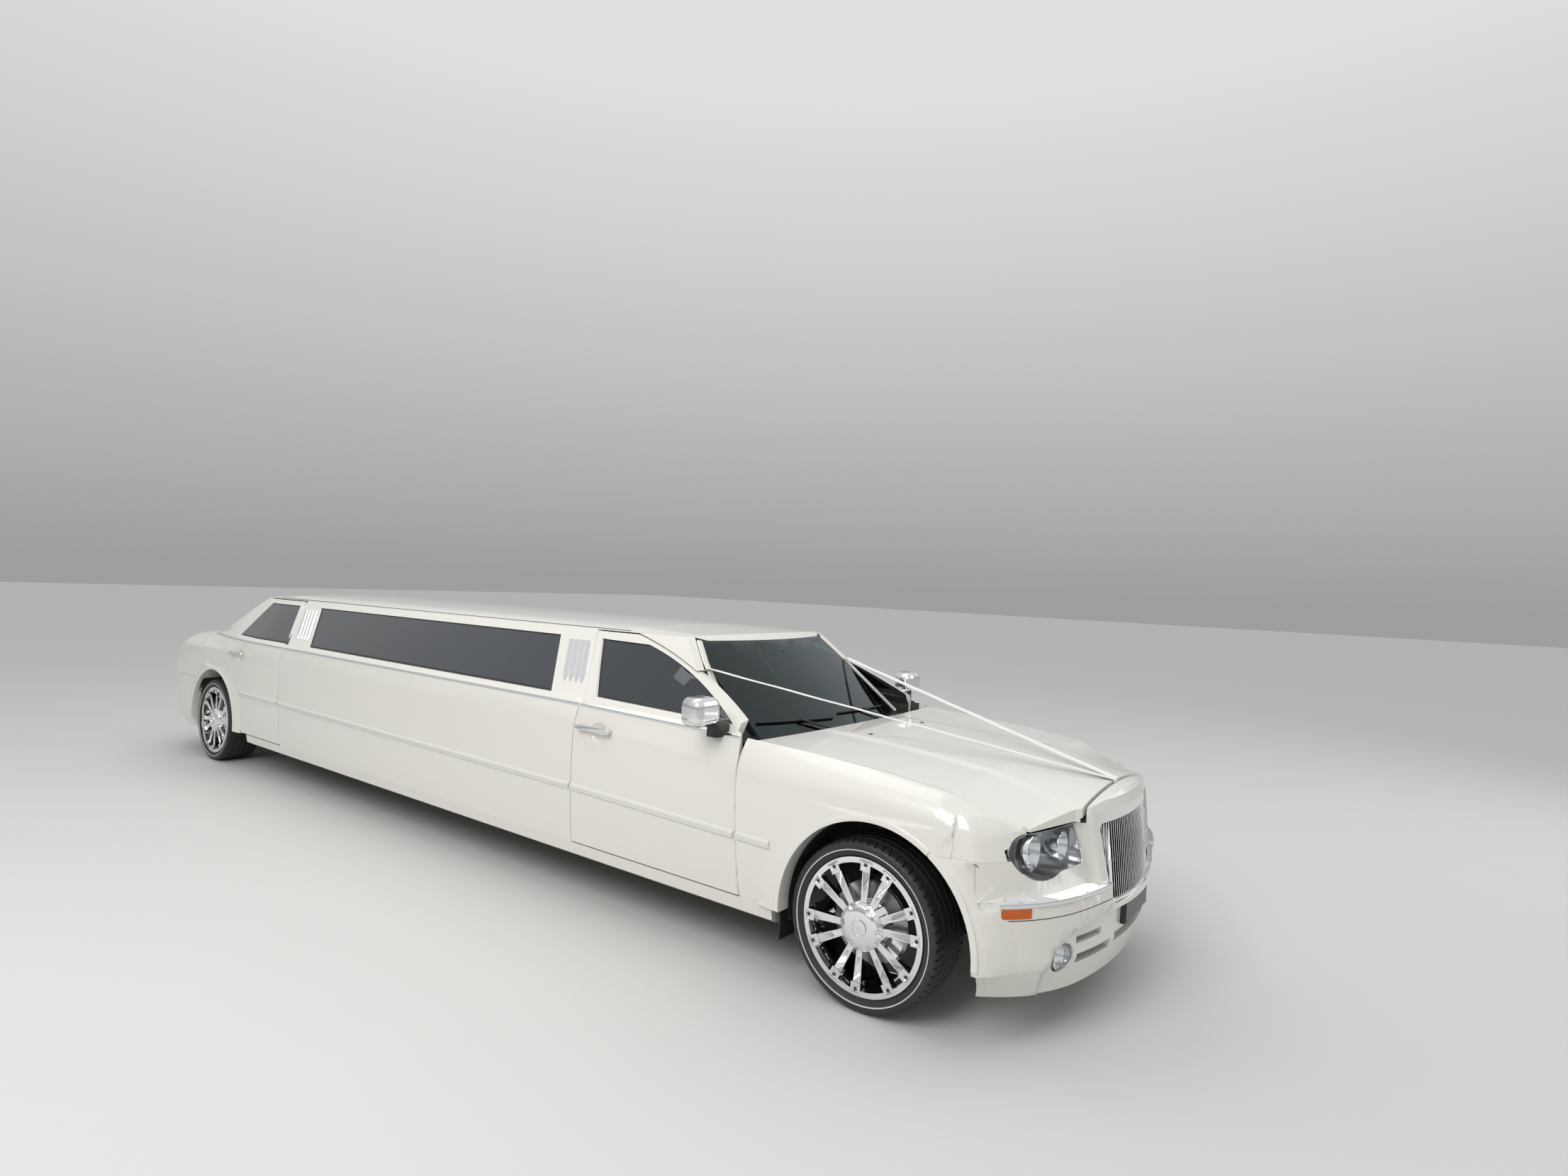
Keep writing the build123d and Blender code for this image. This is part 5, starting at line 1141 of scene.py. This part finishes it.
def split_lamp(node, name, slot, housing_look, on_lens):
    """A lamp node as its lens and the housing behind it, with the node itself hidden."""
    shell = merged_mesh(node, on_lens)
    bmesh.ops.solidify(shell, geom=shell.faces[:], thickness=LENS_WALL)
    cover = new_object(shell, f"{name}_lenses", "root", slot)
    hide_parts(node)
    shell = merged_mesh(node, lambda facing, middle: not on_lens(facing, middle))
    bmesh.ops.solidify(shell, geom=shell.faces[:], thickness=HOUSING_WALL)
    new_object(shell, f"{name}_housings", "root", slot, housing_look)


# Reflectors of the front lamps: x, z, radius, how deep behind the lens, depth of the bowl
REFLECTORS = ((0.528, 0.752, 0.056, 0.022, 0.055), (0.690, 0.748, 0.066, 0.024, 0.050),
              (0.598, 0.343, 0.048, 0.014, 0.045))
# A bulb's size as a share of its bowl's radius, and its place as a share of the bowl's depth
BULB_SHARE = 0.24
BULB_DEPTH = 0.45


class LIMO_OT_lamps(bpy.types.Operator):
    """Headlamps and fog lamps: clear lenses over dark housings with bright bowls and bulbs."""

    bl_idname = "limo.lamps"
    bl_label = "Lamps"

    def execute(self, context):
        split_lamp("front_lamps", "lamp", "lamp_glass", "reflector", lambda facing, middle: facing.y < -0.3)
        tree = search_tree("front_lamps")
        places = []
        for x, z, radius, gap, depth in REFLECTORS:
            point, _ = met(tree, *from_front(x, z))
            places.append((point + Vector((0, gap, 0)), radius, depth))

        def bowls(bm):
            for spot, radius, depth in places:
                bowl(bm, spot, radius, depth)

        def bulbs(bm):
            for spot, radius, depth in places:
                bulb(bm, spot + Vector((0, depth * BULB_DEPTH, 0)), radius * BULB_SHARE)

        paired("lamp_bowls", "root", "chrome", bowls)
        paired("lamp_bulbs", "root", "lamp_glass", bulbs)
        return {"FINISHED"}


# Blank plates: half their width, their thickness, and how far the holder stands out round them
PLATE_HALF = 0.165
PLATE_T = 0.003
HOLDER_RIM = 0.008
HOLDER_GAP = 0.0002


def blank_plate(end, body, y, out, low, high, proud, sunk):
    """A blank plate between two heights, and the holder that carries it on a face at y.

    The face looks back (out 1) or ahead (out -1). The holder stands proud of it, and is sunk in it.
    """
    face = y + out * proud
    near, far = sorted((face, face + out * PLATE_T))
    block_piece(f"{end}_plate", body, "paint", [
        ((-PLATE_HALF, near, low), (PLATE_HALF, far, high), 0.001, 1)], "plate")
    near, far = sorted((face - out * HOLDER_GAP, y - out * sunk))
    half = PLATE_HALF + HOLDER_RIM
    block_piece(f"{end}_plate_holder", body, "black_plastic", [
        ((-half, near, low - HOLDER_RIM), (half, far, high + HOLDER_RIM), 0.004)])


LEDGE_PROFILE = ((-0.009, -0.004), (-0.009, 0.003), (-0.006, 0.005), (0.006, 0.005), (0.009, 0.003),
                 (0.009, -0.004))
GROOVE_PROFILE = ((-0.0016, -0.001), (-0.0016, 0.0006), (0.0016, 0.0006), (0.0016, -0.001))
MARKER_PROFILE = ((-0.0185, -0.002), (-0.0175, 0.0035), (0.0175, 0.0035), (0.0185, -0.002))
# Strips on the front bumper: name, slot, look, profile, height, and the row of rays across
NOSE_STRIPS = (
    ("bumper_ledge", "chrome", None, LEDGE_PROFILE, 0.578, (0.335, 0.872, 26)),
    ("bumper_groove", "black_plastic", None, GROOVE_PROFILE, 0.521, (0.315, 0.895, 26)),
    ("amber_marker", "lamp_glass", "amber", MARKER_PROFILE, 0.5465, (0.775, 0.866, 12)),
)
# The lamp washers: their place across, and the corners of one from where it stands, with its edge
WASHER_X = 0.36
WASHER = ((-0.012, 0.002, -0.004), (0.012, 0.024, 0.012), 0.004)
# The front plate's lower and upper edge
FRONT_PLATE_Z = (0.384, 0.478)
# The height at which the front plate's holder meets the bumper
FRONT_FACE_Z = 0.455


class LIMO_OT_nose(bpy.types.Operator):
    """The bumper's bright ledges, groove, amber markers, lamp washers and blank plate."""

    bl_idname = "limo.nose"
    bl_label = "Nose trim"

    def execute(self, context):
        tree = search_tree("front_bumper")
        for name, slot, look, profile, z, row in NOSE_STRIPS:
            paired_strip(name, "root", slot, tree, [from_front(x, z) for x in spaced(*row)], profile, look)
        spot, _ = met(tree, *from_front(WASHER_X, LEDGE_TOP))
        paired("lamp_washer", "root", "paint", lambda bm: rounded_block(bm, *shifted(WASHER, spot)))
        point, _ = met(tree, *from_front(0, FRONT_FACE_Z))
        blank_plate("front", "root", point.y, -1, *FRONT_PLATE_Z, proud=0.010, sunk=0.012)
        return {"FINISHED"}


# Strips across the tail: name, node, height, and the row of rays across
TAIL_STRIPS = (("rear_bumper_strip", "rear_bumper", 0.622, (-0.84, 0.84, 60)),
               ("boot_strip", "boot_lid", 0.945, (-0.46, 0.46, 30)))
REAR_PLATE_Z = (0.797, 0.903)
# From this place on, the tail lamps turn round the car's corners, and their side faces are lens too
LAMP_CORNER = REAR_AXLE + 0.94
# The tailpipe ends: their place, and their section as (radius, behind the exhaust's end)
TAILPIPE_X = 0.43
TAILPIPE_Z = 0.196
TAILPIPE_PROFILE = ((0.0300, -0.10), (0.0345, -0.10), (0.0350, 0.012), (0.0335, 0.016), (0.0305, 0.012),
                    (0.0300, -0.10))


class LIMO_OT_tail(bpy.types.Operator):
    """Rear lamps, bumper and lid strips, blank plate and tailpipe ends."""

    bl_idname = "limo.tail"
    bl_label = "Tail trim"

    def execute(self, context):
        def on_lens(facing, middle):
            return facing.y > 0.3 or facing.x * middle.x > 0.3 and middle.y > LAMP_CORNER

        split_lamp("tail_lamps", "tail", "red_lens", "gloss_black", on_lens)
        for name, node, z, row in TAIL_STRIPS:
            strip = bmesh.new()
            laid_strip(strip, search_tree(node), [from_behind(x, z) for x in spaced(*row)], LEDGE_PROFILE)
            new_object(strip, name, BODY_OF[node], "chrome")
        point, _ = met(search_tree("boot_lid"), *from_behind(0, sum(REAR_PLATE_Z) / 2))
        blank_plate("rear", "boot_lid", point.y, 1, *REAR_PLATE_Z, proud=0.008, sunk=0.01)
        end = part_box("exhaust")[1].y
        profile = [(radius, end + along) for radius, along in TAILPIPE_PROFILE]
        middle = (TAILPIPE_X, 0, TAILPIPE_Z)
        paired("tailpipe_end", "root", "chrome", lambda bm: lathe(bm, profile, middle, ALONG, 40))
        return {"FINISHED"}


# Wipers on the windscreen: ends of the blade as (x, z), and the foot of the arm
WIPERS = (((-0.60, 1.045), (-0.06, 1.028), (-0.16, 0.985)), ((0.02, 1.045), (0.55, 1.030), (0.44, 0.985)))
BLADE_PROFILE = ((-0.003, 0.0005), (-0.006, 0.006), (-0.004, 0.013), (0.004, 0.013), (0.006, 0.006),
                 (0.003, 0.0005))
ARM_PROFILE = ((-0.007, 0.014), (-0.006, 0.020), (0.006, 0.020), (0.007, 0.014))
CABIN_MIRROR_Z = 1.345
# The mirror's head and its stalk, from the windscreen: low corner, high corner and edge
CABIN_MIRROR = (((-0.115, 0.060, -0.034), (0.115, 0.084, 0.034), 0.010),
                ((-0.010, 0.012, 0.002), (0.010, 0.072, 0.020), 0.004))


def rays_between(start, end, count):
    """Rays from the front along the straight line between two (x, z) points."""
    (x0, z0), (x1, z1) = start, end
    return [from_front(x0 + (x1 - x0) * k, z0 + (z1 - z0) * k) for k in spaced(0, 1, count)]


class LIMO_OT_cowl(bpy.types.Operator):
    """Wipers at the foot of the windscreen and the mirror inside it."""

    bl_idname = "limo.cowl"
    bl_label = "Wipers and mirror"

    def execute(self, context):
        tree = search_tree("windscreen")
        blades = bmesh.new()
        for left, right, foot in WIPERS:
            laid_strip(blades, tree, rays_between(left, right, 18), BLADE_PROFILE)
            middle = [(a + b) / 2 for a, b in zip(left, right)]
            laid_strip(blades, tree, rays_between(foot, middle, 10), ARM_PROFILE,
                       lambda share: 1.2 - 0.6 * share)
        new_object(blades, "wipers", "root", "black_plastic")

        point, _ = met(tree, *from_front(0, CABIN_MIRROR_Z))
        block_piece("cabin_mirror", "root", "trim_plastic", [shifted(block, point) for block in CABIN_MIRROR])
        return {"FINISHED"}


# Cushions: how many cuts across, how boxy their outline is, how far their sides draw in, and the depth and
# half width of a seam as shares of the cushion's
CUSHION_CUTS = 13
BOXINESS = 7
DRAWN_IN = 0.03
SEAM_DEPTH = 0.16
SEAM_WIDTH = 0.035


def cushion(bm, middle, half, crown, seam, seam_axis, turn):
    """A crowned cushion: round corners, sides drawn in between them, and two sewn seams across its top."""
    middle, half = Vector(middle), Vector(half)
    made = bmesh.ops.create_cube(bm, size=2)["verts"]
    edges = list({edge for vert in made for edge in vert.link_edges})
    bmesh.ops.subdivide_edges(bm, edges=edges, cuts=CUSHION_CUTS, use_grid_fill=True)
    for vert in bm.verts:
        sides = [abs(value) for value in vert.co]
        shape = vert.co * (max(sides) / sum(side ** BOXINESS for side in sides) ** (1 / BOXINESS))
        shape.x *= 1 - DRAWN_IN * (1 - shape.y ** 2)
        shape.y *= 1 - DRAWN_IN * (1 - shape.x ** 2)
        lift = crown * (1 - shape.x ** 2) * (1 - shape.y ** 2)
        shape.z *= 1 - crown + lift
        if shape.z > 0 and seam:
            for place in (-seam, seam):
                shape.z -= SEAM_DEPTH * math.exp(-((shape[seam_axis] - place) / SEAM_WIDTH) ** 2) * shape.z
        vert.co = middle + turn @ (shape * half)


# The front seats stand at this distance from the car's middle, with their backs leaning by this angle
SEAT_X = 0.37
SEAT_LEAN = math.radians(20.5)
# Cushions: name, middle, half sizes, crown, how far out the seams lie as a share, the axis across which they
# lie, and how far and about which axis the cushion is turned. Those of a front seat are set from SEAT_X
FRONT_CUSHIONS = (
    ("base", (0, FRONT_AXLE + 1.265, 0.500), (0.205, 0.245, 0.075), 0.16, 0.62, 0, 0.03, "X"),
    ("back", (0, FRONT_AXLE + 1.655, 0.790), (0.205, 0.275, 0.062), 0.16, 0.62, 0,
     math.pi / 2 - SEAT_LEAN, "X"),
    ("headrest", (0, FRONT_AXLE + 1.785, 1.150), (0.125, 0.085, 0.042), 0.16, 0, 0,
     math.pi / 2 - SEAT_LEAN / 2, "X"),
)
REAR_CUSHIONS = (
    ("base", (0.35, REAR_AXLE - 0.7525, 0.5375), (0.34, 0.2425, 0.0775), 0.14, 0.33, 0, 0, "X"),
    ("back", (0.23, REAR_AXLE - 0.430, 0.815), (0.222, 0.235, 0.042), 0.16, 0.4, 0, math.radians(70), "X"),
)
# Where each pair of bench cushions starts and ends along the car, and the other two of their middles and half
# sizes
BENCH_ENDS = ((-1.11, -0.15), (-0.145, 0.82), (0.825, 1.785))
BENCH_CUSHIONS = (
    ("base", 0.491, 0.539, 0.209, 0.079, 0.14, 0.33, 1, 0, "Y"),
    ("back", 0.757, 0.83, 0.215, 0.038, 0.16, 0.33, 1, math.radians(-81), "Y"),
)
# What carries the cushions: one plinth and one headrest post for each front seat, and the others' plinths
SEAT_PLINTH = ((-0.2, FRONT_AXLE + 1.10, 0.259), (0.2, FRONT_AXLE + 1.50, 0.43), 0.02)
HEADREST_POST = ((-0.03, FRONT_AXLE + 1.745, 1.00), (0.03, FRONT_AXLE + 1.765, 1.10), 0.006)
BENCH_PLINTH = ((0.285, -1.11, 0.259), (0.760, 1.785, 0.463), 0.02)
REAR_PLINTH = ((-0.69, REAR_AXLE - 0.99, 0.392), (0.69, REAR_AXLE - 0.56, 0.463), 0.02)


class LIMO_OT_seats(bpy.types.Operator):
    """Leather front seats, the rear seat and the side bench as padded cushions on their plinths."""

    bl_idname = "limo.seats"
    bl_label = "Seats"

    def pad(self, name, node, middle, half, crown, seam, seam_axis, lean, lean_axis):
        """A padded piece of a seat, with the seat's node hidden."""
        bm = bmesh.new()
        cushion(bm, middle, half, crown, seam, seam_axis, Matrix.Rotation(lean, 3, lean_axis))
        piece = new_object(bm, name, "root", "seat_leather", smooth_angle=SOFT_ANGLE)
        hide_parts(node)

    def execute(self, context):
        for side, sign in SIDES:
            for name, (_, y, z), *form in FRONT_CUSHIONS:
                self.pad(f"front_seat_{name}_{side}", "front_seats", (sign * SEAT_X, y, z), *form)
        for side, sign in SIDES:
            for name, (x, y, z), *form in REAR_CUSHIONS:
                self.pad(f"rear_seat_{name}_{side}", "rear_seats", (sign * x, y, z), *form)
        for k, (start, end) in enumerate(BENCH_ENDS):
            for name, x, z, half_x, half_z, *form in BENCH_CUSHIONS:
                middle, half = (x, (start + end) / 2, z), (half_x, (end - start) / 2, half_z)
                self.pad(f"bench_{name}_{k + 1}", "side_bench", middle, half, *form)

        blocks = [shifted(block, Vector((x, 0, 0))) for x in (-SEAT_X, SEAT_X)
                  for block in (SEAT_PLINTH, HEADREST_POST)]
        block_piece("seat_plinths", "root", "trim_plastic", [*blocks, BENCH_PLINTH, REAR_PLINTH])
        return {"FINISHED"}


# The instrument hood over the steering column, and the centre stack: the corners of each, with places along
# the car from the dashboard's rear edge, then the rounded edge and its segments
COLUMN_X = -0.37
HOOD = ((COLUMN_X - 0.19, -0.20, 0.945), (COLUMN_X + 0.19, -0.07, 1.005), 0.022, 5)
STACK = ((-0.13, -0.05, 0.62), (0.13, 0.015, 0.90), 0.012)
# The vents: how far out they lie, their place from the dashboard's rear edge, and their section
VENTS_X = (-0.66, -0.10, 0.10, 0.66)
VENTS_PLACE = Vector((0, -0.012, 0.888))
VENT_PROFILE = ((0.028, -0.012), (0.036, -0.012), (0.036, 0.006), (0.031, 0.008), (0.028, 0.004),
                (0.028, -0.012))


class LIMO_OT_cabin(bpy.types.Operator):
    """The instrument hood, vents and centre stack of the dashboard."""

    bl_idname = "limo.cabin"
    bl_label = "Dashboard"

    def execute(self, context):
        rear = Vector((0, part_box("dashboard")[1].y, 0))
        block_piece("instrument_hood", "root", "trim_plastic", [shifted(HOOD, rear)])
        block_piece("centre_stack", "root", "trim_plastic", [shifted(STACK, rear)])
        vents = bmesh.new()
        for x in VENTS_X:
            lathe(vents, VENT_PROFILE, rear + VENTS_PLACE + Vector((x, 0, 0)), ALONG, 32)
        new_object(vents, "dashboard_vents", "root", "chrome")
        return {"FINISHED"}


# The engine cover and one of the ribs on it, with heights from the engine's top, and the row of ribs across
ENGINE_COVER = ((-0.27, FRONT_AXLE - 0.40, 0.0005), (0.27, FRONT_AXLE + 0.22, 0.035), 0.015, 4)
RIB = ((-0.012, FRONT_AXLE - 0.36, 0.034), (0.012, FRONT_AXLE + 0.18, 0.044), 0.004)
RIBS_X = (-0.20, 0.20, 7)


class LIMO_OT_engine_bay(bpy.types.Operator):
    """A ribbed cover on the engine block."""

    bl_idname = "limo.engine_bay"
    bl_label = "Engine cover"

    def execute(self, context):
        top = Vector((0, 0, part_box("engine")[1].z))
        ribs = [shifted(RIB, top + Vector((x, 0, 0))) for x in spaced(*RIBS_X)]
        block_piece("engine_cover", "root", "black_plastic", [shifted(ENGINE_COVER, top), *ribs])
        return {"FINISHED"}


# Where a ribbon leaves the bonnet, and the height at which it is tucked in behind the pillar cover
RIBBON_FOOT = (0.012, FRONT_AXLE - 0.7265)
RIBBON_TOP_Z = 1.285
RIBBON_LIFT = 0.0025
RIBBON_ROWS = 8
RIBBON_STEPS = 40
# The depth of the soft folds that run along a ribbon, and of the flutter across them
RIBBON_FOLD = 0.0012
RIBBON_FLUTTER = 0.0008
# From the foot and from the windscreen's edge, the points of its two tucked ends
TUCKS_BELOW = ((0, -0.006, -0.014), (0, -0.003, -0.003))
TUCKS_ABOVE = ((0.004, -0.004, 0), (0.007, 0.020, 0.001))
# Where the ribbon crosses the pillar cover: how far in from the windscreen's edge, and how proud
RIBBON_INSET = 0.014
RIBBON_PROUD = 0.0115


def ribbon_path(raised):
    """The left ribbon's path, from under the bonnet's front edge to behind the pillar cover."""
    screen = search_tree("windscreen")
    foot, _ = met(search_tree("bonnet"), *from_above(*RIBBON_FOOT))
    foot += Vector((0, -0.006, RIBBON_LIFT + raised))
    edge_x = screen_edge(screen, RIBBON_TOP_Z)
    edge, _ = met(screen, *from_front(edge_x, RIBBON_TOP_Z))
    top, facing = met(screen, *from_front(edge_x - RIBBON_INSET, RIBBON_TOP_Z))
    top += facing * RIBBON_PROUD
    return [*(foot + Vector(tuck) for tuck in TUCKS_BELOW),
            *(foot.lerp(top, share) for share in spaced(0, 1, RIBBON_STEPS)),
            *(edge + Vector(tuck) for tuck in TUCKS_ABOVE)]


class LIMO_OT_ribbons(bpy.types.Operator):
    """Two satin ribbons pulled straight from the bonnet's front edge to the windscreen pillars."""

    bl_idname = "limo.ribbons"
    bl_label = "Ribbons"

    def execute(self, context):
        trim = settings().trim
        width = trim.ribbon_width
        left = ribbon_path(trim.crease)
        for side, sign in SIDES:
            path = [Vector((point.x * sign, point.y, point.z)) for point in left]
            length = sum((b - a).length for a, b in zip(path, path[1:]))
            last = len(path) - 1

            def place(column, row):
                run = (path[min(column + 1, last)] - path[max(column - 1, 0)]).normalized()
                level = run.cross(Vector((0, 0, 1))).normalized()
                share = row / RIBBON_ROWS - 0.5
                lift = RIBBON_FOLD * math.cos(share * 4 * math.pi)
                lift += RIBBON_FLUTTER * math.sin(column * 0.9 + share * 7)
                return path[column] + level * share * width + Vector((0, 0, lift))

            bm = bmesh.new()
            mapped_grid(bm, last, RIBBON_ROWS, place)
            bm.normal_update()
            if sum(face.normal.z for face in bm.faces) < 0:
                bmesh.ops.reverse_faces(bm, faces=bm.faces)
            uv = bm.loops.layers.uv.new("UVMap")
            for loop in (loop for face in bm.faces for loop in face.loops):
                offset = loop.vert.co - path[0]
                loop[uv].uv = (offset.y, offset.x)
            ribbon = object_from(bm, f"ribbon_{side}", SOFT_ANGLE)
            ribbon.data.materials.append(finish("satin"))
            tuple(path[6])
            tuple(path[-4])
            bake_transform(ribbon)
        return {"FINISHED"}


FLOOR_HALF = 60
# The sky's colours at the horizon and from this height on, and its strength
SKY_LOW = (0.40, 0.405, 0.41)
SKY_HIGH = (0.86, 0.87, 0.88)
SKY_TURN = 0.5
SKY_STRENGTH = 0.85
# The studio's lights: name, place, width and power, all aimed at one point
STUDIO_LIGHTS = (("key", (-6.5, -3.0, 6.0), 4.0, 300), ("fill", (5.0, -7.5, 4.5), 5.0, 90),
                 ("top", (0.0, 1.0, 7.0), 6.0, 120))
LIGHTS_AIM = Vector((0, 0, 0.6))
SENSOR_WIDTH = 36


class LIMO_OT_stage(bpy.types.Operator):
    """Floor, sky, studio lights and the camera at the photograph's place."""

    bl_idname = "limo.stage"
    bl_label = "Studio"

    def execute(self, context):
        scene = context.scene
        stage = settings().stage
        scene.view_settings.view_transform = "Standard"
        bm = bmesh.new()
        bmesh.ops.create_grid(bm, x_segments=1, y_segments=1, size=FLOOR_HALF)
        floor = object_from(bm, "studio_floor")
        material, tree, shader = start_material("studio_floor", {"Roughness": 0.9})
        tone = Vector(stage.floor_colour)
        tone = tint_between(tree, noise_at(tree, 3, 5), tone * 0.985, tone)
        tree.links.new(tone, shader.inputs["Base Color"])
        floor.data.materials.append(material)

        world = bpy.data.worlds.new("studio")
        world.use_nodes = True
        scene.world = world
        tree = world.node_tree
        sky = tree.nodes["Background"]
        ray = add_node(tree, "ShaderNodeTexCoord").outputs["Generated"]
        height = add_node(tree, "ShaderNodeSeparateXYZ", {"Vector": ray}).outputs["Z"]
        tone = tint_between(tree, spread(tree, height, 0, 1, 0.0, SKY_TURN), SKY_LOW, SKY_HIGH)
        tree.links.new(tone, sky.inputs["Color"])
        sky.inputs["Strength"].default_value = SKY_STRENGTH

        for name, place, size, power in STUDIO_LIGHTS:
            lamp = bpy.data.lights.new(name, "AREA")
            lamp.size = size
            lamp.energy = power
            obj = bpy.data.objects.new(name, lamp)
            scene.collection.objects.link(obj)
            obj.location = place
            obj.rotation_mode = "QUATERNION"
            obj.rotation_quaternion = (LIGHTS_AIM - Vector(place)).to_track_quat("-Z", "Y")

        data = bpy.data.cameras.new("photo_camera")
        camera = bpy.data.objects.new("photo_camera", data)
        scene.collection.objects.link(camera)
        data.sensor_width = SENSOR_WIDTH
        data.lens = SENSOR_WIDTH * stage.focal_share
        turn = Matrix.Rotation(stage.yaw, 4, "Z") @ Matrix.Rotation(stage.pitch, 4, "X")
        turn = turn @ Matrix.Rotation(stage.roll, 4, "Y") @ Matrix.Rotation(math.radians(90), 4, "X")
        camera.matrix_world = Matrix.Translation(stage.camera_place) @ turn
        scene.camera = camera
        return {"FINISHED"}


OPERATORS = (
    LIMO_OT_stage, LIMO_OT_finishes, LIMO_OT_panes, LIMO_OT_bonnet, LIMO_OT_tyres, LIMO_OT_wheels,
    LIMO_OT_strips, LIMO_OT_arch_lips, LIMO_OT_lamps, LIMO_OT_nose, LIMO_OT_tail, LIMO_OT_cowl,
    LIMO_OT_seats, LIMO_OT_cabin, LIMO_OT_engine_bay, LIMO_OT_ribbons,
)


class LIMO_PT_panel(bpy.types.Panel):
    """The limousine's steps, in the order in which they run."""

    bl_label = "Limousine"
    bl_idname = "LIMO_PT_panel"
    bl_space_type = "VIEW_3D"
    bl_region_type = "UI"
    bl_category = "Limousine"

    def draw(self, context):
        for operator in OPERATORS:
            self.layout.operator(operator.bl_idname)


CLASSES = (PaintSettings, GlassSettings, TyreSettings, TrimSettings, StageSettings, LimousineSettings,
           *OPERATORS, LIMO_PT_panel)


def register():
    for cls in CLASSES:
        bpy.utils.register_class(cls)
    bpy.types.Scene.limousine = bpy.props.PointerProperty(type=LimousineSettings)


def unregister():
    del bpy.types.Scene.limousine
    for cls in reversed(CLASSES):
        bpy.utils.unregister_class(cls)


def main():
    register()
    for operator in OPERATORS:
        group, name = operator.bl_idname.split(".")
        getattr(getattr(bpy.ops, group), name)()


if __name__ == "__main__":
    main()
